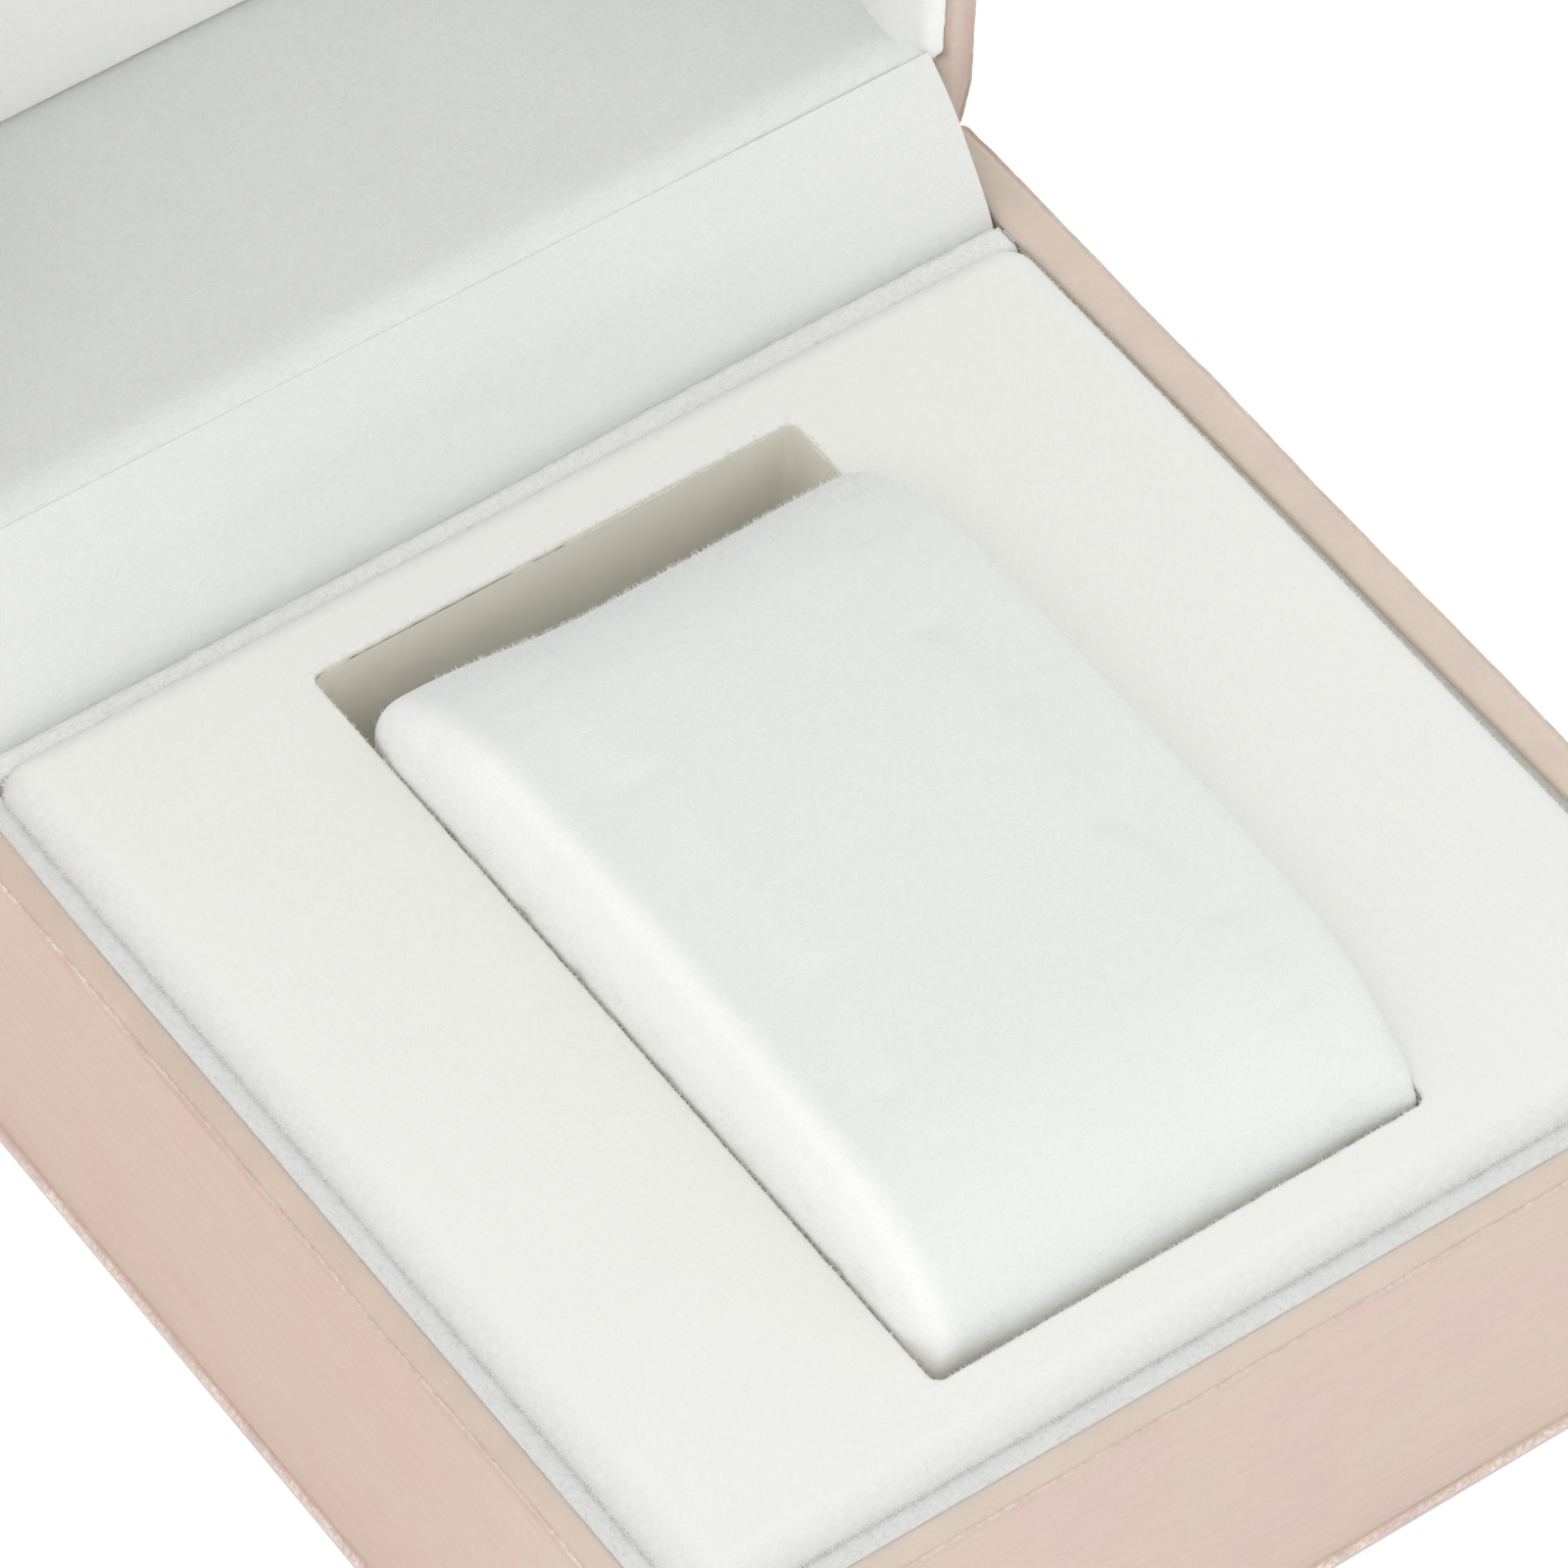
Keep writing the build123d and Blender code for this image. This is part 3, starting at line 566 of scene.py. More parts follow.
def base_skin():
    top = RIM_Z
    wall = [(0.0, WALL_FOOT + step) for step in (0, 0.6, 2, 4, 7, 10, 13, 16, 19, 22, 25)]
    wall.append((0.0, top - 3.0))
    edge_start = len(wall)
    profile = wall + [(inset, top - below) for inset, below in TURNED_EDGE]
    face_start = len(profile)
    profile += [(RIM, top - 1.0), (RIM, top - 2.0), (RIM, top - 5.0), (RIM, top - TURN_IN)]
    back_start = len(profile)
    profile += [
        (RIM - SKIN, top - TURN_IN), (RIM - SKIN, top - SKIN - 0.2), (SKIN + 0.1, top - SKIN - 0.2),
        (SKIN, WALL_FOOT),
    ]
    cut = top - (HINGE_Z - REAR_DROP)
    tuck_start = face_start - TUCK_POINTS

    def shape(k, inset, level, x0, y0):
        x, y, z = x0, y0, level
        below = top - level
        painted_highlight = 0.0
        if below < TURN_IN - 0.5:
            z -= rear_level(x, y, cut) * (1 - max(0.0, below) / TURN_IN)
        if edge_start <= k < face_start:
            height, wander, painted_highlight = turned_edge(k - edge_start, x, y, 0.3)
            z += height
            x, y = towards(x, y, -wander)
            if k - edge_start >= BAND_START:
                z += 0.03 * wave(x, y, 0, 5.0, 7.7)
        elif k < edge_start:
            x, y = towards(x, y, ripple(x, y, z, 1.7) * smooth_step(below, 0.5, 3.0))
        if tuck_start < k <= back_start and abs(x0) > INNER_X - 1.0:
            x -= tuck(x0, y0) * (1 if x > 0 else -1) * smooth_step(k, tuck_start, tuck_start + 5)
        # the second mark is painted shade on the rim's top band
        return (x, y, z), painted_highlight, smooth_step(inset, 0.2, 0.6), lit_side_share(x0, y0)

    skin("base_wrap", "base_leatherette", "base", LEATHERETTE, profile, SKIN_COUNTS, shape)


def lid_skin():
    low = LID_RIM_Z
    top = LID_TOP_Z
    cut = (HINGE_Z + REAR_DROP) - low
    inner = [(RIM - SKIN, low + TURN_IN), (RIM, low + TURN_IN)]
    inner += [(RIM, low + step) for step in (5, 2, 1)]
    edge_start = len(inner)
    profile = inner + [(inset, low + above) for inset, above in reversed(TURNED_EDGE)]
    wall_start = len(profile)
    profile += [(0.0, low + step) for step in (3, 6, 9, 12, 16, 20, 24, 28, 32)]
    profile += [(0.0, top - 3.0), (0.0, top - LID_TOP_RADIUS)]
    wall_end = len(profile) - 1
    for i in range(1, LID_TOP_STEPS + 1):
        angle = i / LID_TOP_STEPS * pi / 2
        profile.append((LID_TOP_RADIUS * (1 - cos(angle)), top - LID_TOP_RADIUS * (1 - sin(angle))))
    outer_end = len(profile) - 1
    profile += [
        (LID_TOP_RADIUS, top - SKIN), (SKIN, top - LID_TOP_RADIUS), (SKIN, low + SKIN + 0.4),
        (RIM - SKIN, low + SKIN + 0.4),
    ]
    relief_start = HALF_Y - LID_RELIEF_LENGTH
    lid_side_end = shut_box("lid_velvet_right")[1].y - LID_SIDE_TRIM

    def shape(k, inset, level, x, y):
        z = level
        above = level - low
        painted_highlight = 0.0
        # painted shade on the rim's top band
        rim_top_shade = 0.8 * smooth_step(inset, 0.8, 2.0) if k < wall_start else 0.0
        if above < TURN_IN - 0.5:
            share = 1 - max(0.0, above) / TURN_IN
            z += rear_level(x, y, cut) * share
            if y > relief_start and abs(x) >= INNER_X - 0.02:
                z += LID_RELIEF_DROP * (y - relief_start) / LID_RELIEF_LENGTH * share
        if edge_start <= k < wall_start:
            height, wander, painted_highlight = turned_edge(wall_start - 1 - k, x, y, 5.3)
            z -= height
            x, y = towards(x, y, -wander)
        elif wall_start <= k < wall_end:
            x, y = towards(x, y, ripple(x, y, z, 2.7) * smooth_step(above, 0.5, 3.0))
        if k < edge_start + 3 and abs(x) > INNER_X - 1.0:
            # beside the hinge the turned-in wrap stands in further
            beside = smooth_step(y, lid_side_end - 0.2, lid_side_end + 1.0)
            x -= LID_TUCK * beside * (1 if x > 0 else -1) * smooth_step(edge_start + 3 - k, 0, 3)
        return (x, y, z), painted_highlight, rim_top_shade, 0.5

    skin("lid_wrap", "lid_leatherette", "lid", LID_LEATHERETTE, profile, SKIN_COUNTS, shape,
         lid=True, gap=outer_end)


def base_fold():
    """Wrapped edge of the plate under the walls: a soft, uneven bead."""
    low, high = box_mm("base_plate_wrap")
    out = high.x - HALF_X
    radius = (high.z - low.z) / 2
    profile = [(4.0, high.z - 0.02), (0.9, high.z - 0.02)]
    bead_start = len(profile)
    profile += arc((-out + radius, (low.z + high.z) / 2), radius, 90, 270, 12)
    bead_end = len(profile) - 1
    profile.append((4.0, low.z))

    def shape(k, inset, level, x, y):
        z = level
        painted_highlight = 0.0
        if bead_start <= k < bead_end:
            lift = 0.09 * wave(x, y, 0, 4.0, 9.1) + 0.05 * wave(x, y, 0, 1.2, 2.2)
            share = (z - low.z) / (high.z - low.z)
            x, y = towards(x, y, lift * 0.7)
            z = max(low.z, z + lift * share)
            outermost = bead_start + 2 < k < bead_end - 3
            # painted highlight along the bead's outermost points
            painted_highlight = (0.6 + 0.5 * wave(x, y, 0, 2.0, 6.2)) * (1 if outermost else 0.3)
        return (x, y, z), min(1.0, max(0.0, painted_highlight)), 0.0, 0.7

    skin("base_fold", "base_plate_wrap", "base", LEATHERETTE, profile, (300, 310, 8), shape)


base_skin()
lid_skin()
base_fold()


# ---- velvet linings
def lining(node, box, across, inward, lid, radii, puff, material, trim=0.0, full=(0.0, 0.0),
           slim=0.0, lumps=0.06):
    """Velvet over a node's card: a strip with a full edge, open behind where the card lies.

    across is the axis (0 or 1) of the thickness, inward its sign towards the box, and radii are
    those of the visible edge at the box side and at the wall side. trim shortens both ends,
    full is how far the face stands in at its edge and just behind it, slim is how much
    thinner the strip is towards its left end, and lumps is how uneven its top is."""
    low, high = box
    edge_z, foot_z = (low.z, high.z) if lid else (high.z, low.z)
    up = -1 if lid else 1
    along = 1 - across
    thick = high[across] - low[across]
    back = low[across] if inward > 0 else high[across]
    face_radius, back_radius = radii
    outline = []
    rows = 22
    for i in range(rows):
        outline.append((thick, foot_z + (edge_z - up * face_radius - foot_z) * i / rows))
    for a, b in arc((thick - face_radius, face_radius), face_radius, 0, 90, 7):
        outline.append((a, edge_z - up * (2 * face_radius - b)))
    for a, b in arc((back_radius, back_radius), back_radius, 90, 180, 6):
        outline.append((a, edge_z - up * (2 * back_radius - b)))
    face_rows = len(outline)
    fold = min(6.0, abs(edge_z - foot_z) / 2)
    outline += [
        (0.0, edge_z - up * fold), (VELVET, edge_z - up * fold), (VELVET, edge_z - up * VELVET),
        (thick - VELVET, edge_z - up * VELVET), (thick - VELVET, foot_z),
    ]
    start = low[along] + trim
    length = high[along] - low[along] - 2 * trim
    steps = int(length / 0.35)
    loops = []
    painted_edge_marks = []
    for s in range(steps + 1):
        run = start + length * s / steps
        end = min(run - start, start + length - run)
        section = []
        for k, (t, z) in enumerate(outline):
            point = [0.0, 0.0, z]
            bulge = 0.0
            if k < face_rows:
                bulge = puff * (0.5 * wave(run, z, low.x, 13.0, 3.3) + 0.2 * wave(run, z, low.y, 2.6, 6.1))
                depth = abs(z - edge_z)
                bulge += full[0] * (1 - smooth_step(depth, 0.8, 2.5))
                bulge += full[1] * smooth_step(depth, 1.4, 2.8) * (1 - 0.5 * smooth_step(depth, 3, 9))
                if k >= rows:
                    fine = 0.06 * wave(run, z + t, low.y, 0.9, 2.9)
                    bulge += fine + lumps * wave(run, t, low.y, 0.55, 1.3)
                    point[2] += up * lumps * wave(run, t, low.x + low.y, 1.1, 8.8)
                    point[2] -= up * 0.5 * max(0.0, 1 - end / 0.9) ** 2
                if t < 0.5 * thick:
                    bulge = min(0.0, bulge) + slim * (1 - smooth_step(run, -5, 25))
            point[across] = back + inward * (t + bulge)
            point[along] = run
            section.append(tuple(point))
            # the "edge" mark: painted highlight on the lid's rear panel near its visible edge; the other
            # linings' materials don't read it
            painted_edge_marks.append(1 - smooth_step(abs(z - edge_z), 1.0, 4.5))
        loops.append(section)
    points, faces = loft(loops, caps=True)
    put(node.replace("velvet", "lining"), points, faces, "lid" if lid else "base", material,
        [node], lid=lid, marks={"edge": painted_edge_marks})


SIDES = {"front": (1, 1), "left": (0, 1), "right": (0, -1), "rear": (1, -1)}
for side, (across_axis, inward_sign) in SIDES.items():
    base_node = f"base_velvet_{side}"
    lid_node = f"lid_velvet_{side}"
    base_box = box_mm(base_node)
    lid_box = shut_box(lid_node)
    if side == "rear":
        base_box[1].y += BAR_BACK
        lining(base_node, base_box, across_axis, inward_sign, False, (0.6, 1.1), 0.1, BAR_VELVET,
               trim=0.95, full=(0.2, 0.0), slim=BAR_BACK, lumps=0.1)
        lining(lid_node, lid_box, across_axis, inward_sign, True, (0.6, 0.45), 0.2, PANEL_VELVET,
               trim=-0.8)
        continue
    if side == "right":
        base_box[1].z -= RIGHT_STRIP_DROP
    if side != "front":
        lid_box[1].y -= LID_SIDE_TRIM
    lining(base_node, base_box, across_axis, inward_sign, False, (0.2, 0.15), 0.05, STRIP_VELVET,
           full=(0.28, 0.0))
    lining(lid_node, lid_box, across_axis, inward_sign, True, (1.0, 0.45), 0.2, SIDE_VELVET,
           full=(0.0, 0.95))


# ---- insert
INSERT_COUNTS = (130, 130, 10)
insert_half = insert_high.x
insert_mid_y = (insert_high.y + insert_low.y) / 2
insert_half_y = (insert_high.y - insert_low.y) / 2


def insert_ring(inset):
    return ring(insert_half, insert_half_y, INSERT_CORNER, inset, INSERT_COUNTS, (0, insert_mid_y))


def roll_ring(across):
    """Ring on the rolled edge, across from 0 at the side to 1 on top. The roll is widest where
    it faces left and front."""
    points = []
    for (x0, y0), (x1, y1) in zip(insert_ring(0), insert_ring(INSERT_ROLL)):
        out = Vector((x0 - x1, y0 - y1)).normalized()
        narrow = 0.31 * max(0.0, out.x) ** 2 + 0.25 * max(0.0, out.y) ** 2 + 0.12 * min(0.0, out.y) ** 2
        share = across * (1 - narrow)
        points.append((x0 + (x1 - x0) * share, y0 + (y1 - y0) * share))
    return points


def window_ring(grow):
    return ring(WINDOW_HALF[0] + grow, WINDOW_HALF[1] + grow, WINDOW_RADIUS + grow, 0, INSERT_COUNTS,
                WINDOW_CENTRE)


def between(outer, inner, share):
    return [(a[0] + (b[0] - a[0]) * share, a[1] + (b[1] - a[1]) * share) for a, b in zip(outer, inner)]


def pad_surface(x, y, z):
    """Gentle unevenness of the covered foam."""
    return z + 0.10 * wave(x, y, 0, 18.0, 1.1) + 0.03 * wave(x, y, 0, 4.0, 2.1)


def from_window(x, y, amount):
    """Point moved away from the window's centre by an amount, in proportion."""
    return (x + amount * (x - WINDOW_CENTRE[0]) / WINDOW_HALF[0],
            y + amount * (y - WINDOW_CENTRE[1]) / WINDOW_HALF[1])


def insert_cover():
    top = insert_high.z
    foot = insert_low.z
    loops = []
    painted_edge_marks = []
    for i in range(9):
        z = foot + (top - INSERT_EDGE - foot) * i / 8
        loops.append([(x, y, z) for x, y in insert_ring(0)])
        painted_edge_marks.append(1.0)
    for across, up in arc((1, 0), 1, 180, 90, 14)[1:]:
        z = top - INSERT_EDGE * (1 - up)
        loops.append([(x, y, pad_surface(x, y, z)) for x, y in roll_ring(across)])
        painted_edge_marks.append(1 - smooth_step(across, 0.15, 0.95))
    shoulder = roll_ring(1)
    lip = window_ring(WINDOW_LIP)
    for i in range(1, 26):
        loops.append([(x, y, pad_surface(x, y, top)) for x, y in between(shoulder, lip, i / 26)])
    cut_start = len(loops)
    # cut edge of the cover round the window
    for grow, fall in ((WINDOW_LIP, 0.0), (0.14, 0.04), (0.03, 0.14), (0.0, 0.28), (0.0, INSERT_SKIN)):
        loop = []
        for x, y in window_ring(grow):
            nibble = 0.05 + 0.05 * wave(x, y, 0, 0.9, 6.6) + 0.03 * wave(x, y, 0, 5.0, 3.1)
            loop.append((*from_window(x, y, nibble), pad_surface(x, y, top - fall)))
        loops.append(loop)
    cut_end = len(loops)
    for i in range(6):
        loop = between(insert_ring(INSERT_ROLL), window_ring(0), 1 - i / 5)
        loops.append([(x, y, top - INSERT_SKIN) for x, y in loop])
    loops.append([(x, y, top - INSERT_EDGE) for x, y in insert_ring(INSERT_SKIN)])
    loops.append([(x, y, foot) for x, y in insert_ring(INSERT_SKIN)])
    marks = []
    turned = []
    for k, loop in enumerate(loops):
        marks += [1.0 if cut_start + 1 < k < cut_end else 0.0] * len(shoulder)
        share = painted_edge_marks[k] if k < len(painted_edge_marks) else 0.0
        for x, y, _ in loop:
            # painted shade: the rolled edge is painted darker where it falls to the left or the front, less
            # on the other sides
            gap_left = min(insert_half + x, insert_half_y + y - insert_mid_y)
            gap_right = min(insert_half - x, insert_half_y - y + insert_mid_y)
            turned.append(share * (1.0 if gap_left < gap_right else 0.3))
    points, faces = loft(loops, closed_profile=True)
    cover = put("insert_velvet", points, faces, "insert", WHITE_VELVET, ["insert_cover"],
                marks={"cut": marks, "edge": turned})
    cover.data.materials.append(CUT_EDGE)
    cut = [value.value for value in cover.data.attributes["cut"].data]
    for polygon in cover.data.polygons:
        if min(cut[v] for v in polygon.vertices) > 0.5:
            polygon.material_index = 1
    return cover


def insert_core():
    """Foam under the cover, with the bare walls of the window."""
    top = insert_high.z
    foot = insert_low.z
    steps = 24
    loops = []
    for i in range(steps + 1):
        z = top - INSERT_SKIN - (top - INSERT_SKIN - foot) * i / steps
        loop = []
        for x, y in window_ring(0.0):
            grain = 0.05 * wave(x, y, z, 2.4, 4.4) + 0.12 * wave(x, y, z, 14.0, 5.5)
            loop.append((*from_window(x, y, grain * min(1.0, i / 3)), z))
        loops.append(loop)
    loops.append([(x, y, foot) for x, y in insert_ring(INSERT_SKIN)])
    loops.append([(x, y, top - INSERT_EDGE) for x, y in insert_ring(INSERT_SKIN)])
    loops.append([(x, y, top - INSERT_SKIN) for x, y in insert_ring(INSERT_ROLL)])
    points, faces = loft(loops, closed_profile=True)
    put("insert_core", points, faces, "insert", CUT_FOAM, ["insert_foam"])


insert_velvet = insert_cover()
insert_core()


# ---- lid ceiling pad
CEILING_EDGE = 0.9  # radius of the pad's round edge


def ceiling_pad():
    low, high = shut_box("lid_ceiling_velvet")
    half_x = high.x
    mid_y = (low.y + high.y) / 2
    half_y = (high.y - low.y) / 2
    steps = 24

    def pad_ring(inset):
        return ring(half_x, half_y, 1.0, inset, (80, 80, 6), (0, mid_y))

    def level(x, y):
        crown = 0.25 * (1 - (x / half_x) ** 2) * (1 - ((y - mid_y) / half_y) ** 2)
        return low.z - crown + 0.06 * wave(x, y, 0, 15.0, 8.1) + 0.02 * wave(x, y, 0, 3.0, 1.9)

    loops = [[(x, y, high.z) for x, y in pad_ring(0)]]
    for inset, up in arc((CEILING_EDGE, CEILING_EDGE), CEILING_EDGE, 180, 270, 6):
        if up < high.z - low.z:
            loops.append([(x, y, level(x, y) + up) for x, y in pad_ring(inset)])
    for i in range(1, steps):
        inset = CEILING_EDGE + (min(half_x, half_y) - 1.4) * i / steps
        loops.append([(x, y, level(x, y)) for x, y in pad_ring(inset)])
    points, faces = loft(loops, caps=True)
    pad = put("ceiling_pad", points, faces, "lid", CEILING_VELVET,
              ["lid_ceiling_velvet", "lid_ceiling_foam"], lid=True)


ceiling_pad()

# ---- pillow
PILLOW_ROUND = 1.7
PILLOW_RIGHT = 0.42  # how far the pillow fills the window on the right
PILLOW_CORNER = 2.6  # radius that the remeshed upright corners have, made squarer afterwards
SIM_SCALE = 0.02  # metres in the simulation for each millimetre of the pillow
VOXEL = 0.8
PRESSURE = 4.0
SWELL_CAP = 0.45  # farthest that the simulation moves a point
PILLOW_GAP = 0.07  # from the window's right and front walls
PILLOW_SEAM = (32.5, 37)  # heights between which the pillow's sides show fibres
PILLOW_TOP_FIBRES = 36  # and from which its right and rear sides do


def pillow_outline(foot, crown):
    """Side view (y, z) of the pillow: upright front, full front edge, long rounded rear."""
    front = pillow_low.y + 0.2
    rear = pillow_high.y - 0.2
    outline = []
    outline += bezier((front, foot), (front, foot + 8), (front, 24), (front, 31.5), 14)
    outline += bezier((front, 31.5), (front, 36.5), (-37.5, 40.8), (-30.0, crown - 1.7), 14)
    outline += bezier((-30.0, crown - 1.7), (-20, crown), (4, crown + 0.4), (15.5, crown - 1.2), 26)
    outline += bezier((15.5, crown - 1.2), (22.5, crown - 3.2), (rear, 38.0), (rear, 29.5), 14)
    outline += bezier((rear, 29.5), (rear, 22), (rear, foot + 8), (rear, foot), 14)
    outline += bezier((rear, foot), (rear - 20, foot), (front + 20, foot), (front, foot), 24)
    return outline


def pillow_block():
    """Closed block with rounded sides, to be puffed up."""
    outline = pillow_outline(pillow_low.z + 0.2, pillow_high.z - 0.2)
    half = (pillow_high.x - pillow_low.x) / 2 - 0.1
    middle = (pillow_high.x + pillow_low.x) / 2
    centre_y = (pillow_low.y + pillow_high.y) / 2
    centre_z = (pillow_low.z + pillow_high.z) / 2
    half_y = (pillow_high.y - pillow_low.y) / 2
    half_z = (pillow_high.z - pillow_low.z) / 2

    def shrunk(inset):
        share_y = 1 - inset / half_y
        share_z = 1 - inset / half_z
        return [(centre_y + (y - centre_y) * share_y, centre_z + (z - centre_z) * share_z)
                for y, z in outline]

    stations = []
    for i in range(7):
        angle = i / 6 * pi / 2
        stations.append((half - PILLOW_ROUND * (1 - sin(angle)), PILLOW_ROUND * (1 - cos(angle))))
    loops = [[(middle - x, y, z) for y, z in shrunk(inset)] for x, inset in reversed(stations)]
    flat_half = stations[0][0]
    loops += [[(middle - flat_half + 2 * flat_half * i / 20, y, z) for y, z in outline] for i in range(1, 20)]
    loops += [[(middle + x, y, z) for y, z in shrunk(inset)] for x, inset in stations]
    return loft(loops, caps=True)


def evaluated_mesh(piece):
    return bpy.data.meshes.new_from_object(piece.evaluated_get(bpy.context.evaluated_depsgraph_get()))


def swell(points, faces):
    """Puffs a closed block like a filled cushion. Returns its points and faces in millimetres."""
    mesh = bpy.data.meshes.new("swell")
    mesh.from_pydata([Vector(p) * SIM_SCALE for p in points], [], faces)
    cushion = bpy.data.objects.new("swell", mesh)
    scene.collection.objects.link(cushion)
    remesh = cushion.modifiers.new("remesh", "REMESH")
    remesh.mode = "VOXEL"
    remesh.voxel_size = VOXEL * SIM_SCALE
    ease = cushion.modifiers.new("ease", "SMOOTH")
    ease.factor = 0.5
    ease.iterations = 4
    even = evaluated_mesh(cushion)
    cushion.modifiers.clear()
    cushion.data = even
    cloth = cushion.modifiers.new("cloth", "CLOTH")
    cloth.settings.quality = 5
    cloth.settings.use_pressure = True
    cloth.settings.uniform_pressure_force = PRESSURE
    cloth.settings.effector_weights.gravity = 0
    for step in range(1, 21):
        scene.frame_set(step)
    blown = evaluated_mesh(cushion)
    cushion.modifiers.clear()
    scene.frame_set(1)
    limit = SWELL_CAP * SIM_SCALE
    for vertex, target in zip(even.vertices, blown.vertices):
        move = target.co - vertex.co
        if move.length > limit:
            move *= limit / move.length
        vertex.co += move
    finer = cushion.modifiers.new("finer", "SUBSURF")
    finer.levels = 1
    final = evaluated_mesh(cushion)
    made = [vertex.co / SIM_SCALE for vertex in final.vertices]
    made_faces = [tuple(polygon.vertices) for polygon in final.polygons]
    bpy.data.objects.remove(cushion)
    return made, made_faces


def squarer(x, y, corner_x, corner_y, share):
    """Moves a point of a round upright corner out towards the corner point."""
    side_x = 1 if corner_x > 0 else -1
    side_y = 1 if corner_y > 0 else -1
    dx = PILLOW_CORNER - abs(corner_x - x)
    dy = PILLOW_CORNER - abs(corner_y - y)
    if share <= 0 or dx <= 0 or dy <= 0:
        return x, y
    power = 5
    grow = (dx * dx + dy * dy) ** 0.5 / (dx**power + dy**power) ** (1 / power)
    grow = 1 + (grow - 1) * share
    return (corner_x - side_x * (PILLOW_CORNER - dx * grow), corner_y - side_y * (PILLOW_CORNER - dy * grow))


def pillow():
    points, faces = swell(*pillow_block())
    right_x = max(p.x for p in points)
    left_x = min(p.x for p in points)
    front_y = min(p.y for p in points)
    shaped = []
    lit_side_marks = []
    for point in points:
        x, y, z = point
        upright = 1 - smooth_step(z, 33, 42)
        x, y = squarer(x, y, right_x, front_y, upright)
        x, y = squarer(x, y, left_x, front_y, 0.5 * upright)
        # the rear left corner bulges against the window, the rear right one a little
        left = smooth_step(-x, 4, 21) * smooth_step(y, 15, 27) * smooth_step(z, 20, 31)
        left *= smooth_step(-z, -43, -36)
        right = smooth_step(x, 6, 20) * smooth_step(y, 15, 27) * smooth_step(z, 24, 36)
        y += 1.8 * left + 0.6 * right
        y -= 0.35 * smooth_step(-y, 36, 40) * smooth_step(x, 5, 20)
        x -= 0.2 * left
        x += PILLOW_RIGHT * smooth_step(x, 8, 20)
        x += 0.3 * smooth_step(x, 12, 20) * smooth_step(z, 34.2, 36)
        corner = smooth_step(x, 14, 19.5) * smooth_step(-y, 35, 40.5) * (1 - smooth_step(z, 35, 39))
        x += 0.5 * corner
        y -= 0.5 * corner
        dent = 0.3 * max(0.0, wave(x, y, z, 2.2, 9.9)) * smooth_step(-x, 18, 21)
        x += dent * (1 - smooth_step(z, 35, 39))
        y += 0.10 * wave(x, y, z, 12.0, 4.7)
        z += 0.14 * wave(x, y, z, 13.0, 5.7) + 0.04 * wave(x, y, z, 3.0, 6.7)
        if z < insert_high.z + 0.3:
            x = min(x, WINDOW_CENTRE[0] + WINDOW_HALF[0] - PILLOW_GAP)
            y = max(y, WINDOW_CENTRE[1] - WINDOW_HALF[1] + PILLOW_GAP)
        shaped.append((x, y, z))
        # painted light on the pillow's left side
        lit_side_marks.append(1 - smooth_step(x, pillow_low.x + 0.9, pillow_low.x + 3.2))
    piece = put("pillow_velvet", shaped, faces, "pillow", PILLOW_VELVET,
                ["pillow_cover", "pillow_foam", "pillow_card"], marks={"edge": lit_side_marks})
    return piece


pillow_velvet = pillow()

# ---- hinge flap and bow springs
FLAP_THICKNESS = 0.5
FLAP_SIDE_GAP = 0.35


def ribbon(path, thickness, low_x, high_x, steps, sway):
    """Closed strip of even thickness along a path in the (y, z) plane, from low_x to high_x."""
    loops = []
    for s in range(steps + 1):
        x = low_x + (high_x - low_x) * s / steps
        one_side = []
        other_side = []
        for i, (y, z) in enumerate(path):
            before = Vector(path[max(0, i - 1)])
            after = Vector(path[min(len(path) - 1, i + 1)])
            along = (after - before).normalized()
            shift = sway(x, y, z)
            near = thickness / 2 + shift
            far = thickness / 2 - shift
            one_side.append((x, y - along.y * near, z + along.x * near))
            other_side.append((x, y + along.y * far, z - along.x * far))
        loops.append(one_side + list(reversed(other_side)))
    return loft(loops, caps=True)


def hinge_flap():
    """Velvet strip from behind the base's rear lining up to the edge of the lid's."""
    low, high = box_mm("hinge_flap")
    start_y = low.y + FLAP_THICKNESS / 2
    bend_z = HINGE_Z - 1.2
    middle = (HINGE_Y - 4.3, HINGE_Z + 5.9)
    end = (HINGE_Y + 0.65, HINGE_Z + 10.35)
    path = [(start_y, low.z + (bend_z - low.z) * i / 4) for i in range(4)]
    path += bezier((start_y, bend_z), (start_y + 0.1, bend_z + 1.6),
                   (middle[0] - 1.9, middle[1] - 3.2), middle, 12)
    path += bezier(middle, (middle[0] + 0.9, middle[1] + 1.35), (end[0] - 1.6, end[1] - 1.5), end, 10)
    path.append(end)

    def sway(x, y, z):
        share = smooth_step(z, bend_z, bend_z + 5)
        forward = BAR_BACK * (1 - smooth_step(x, -5, 25)) * smooth_step(z, bend_z - 2, bend_z)
        forward *= 1 - smooth_step(z, bend_z + 2, bend_z + 7)
        forward += (0.1 + 0.4 * smooth_step(x, 15, 45)) * smooth_step(z, HINGE_Z + 6, HINGE_Z + 9.5)
        return forward + share * (0.18 * wave(x, y, z, 17.0, 3.9) + 0.05 * wave(x, y, z, 3.2, 4.9))

    start_x = low.x + FLAP_SIDE_GAP
    end_x = high.x - FLAP_SIDE_GAP
    points, faces = ribbon(path, FLAP_THICKNESS, start_x, end_x, 150, sway)
    # painted shade on the flap's foot
    foot_shade_marks = [1 - smooth_step(z, bend_z + 0.7, bend_z + 2.7) for _, _, z in points]
    flap = put("flap_velvet", points, faces, None, FLAP_VELVET, ["hinge_flap"],
               marks={"edge": foot_shade_marks})
    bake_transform(flap)


hinge_flap()

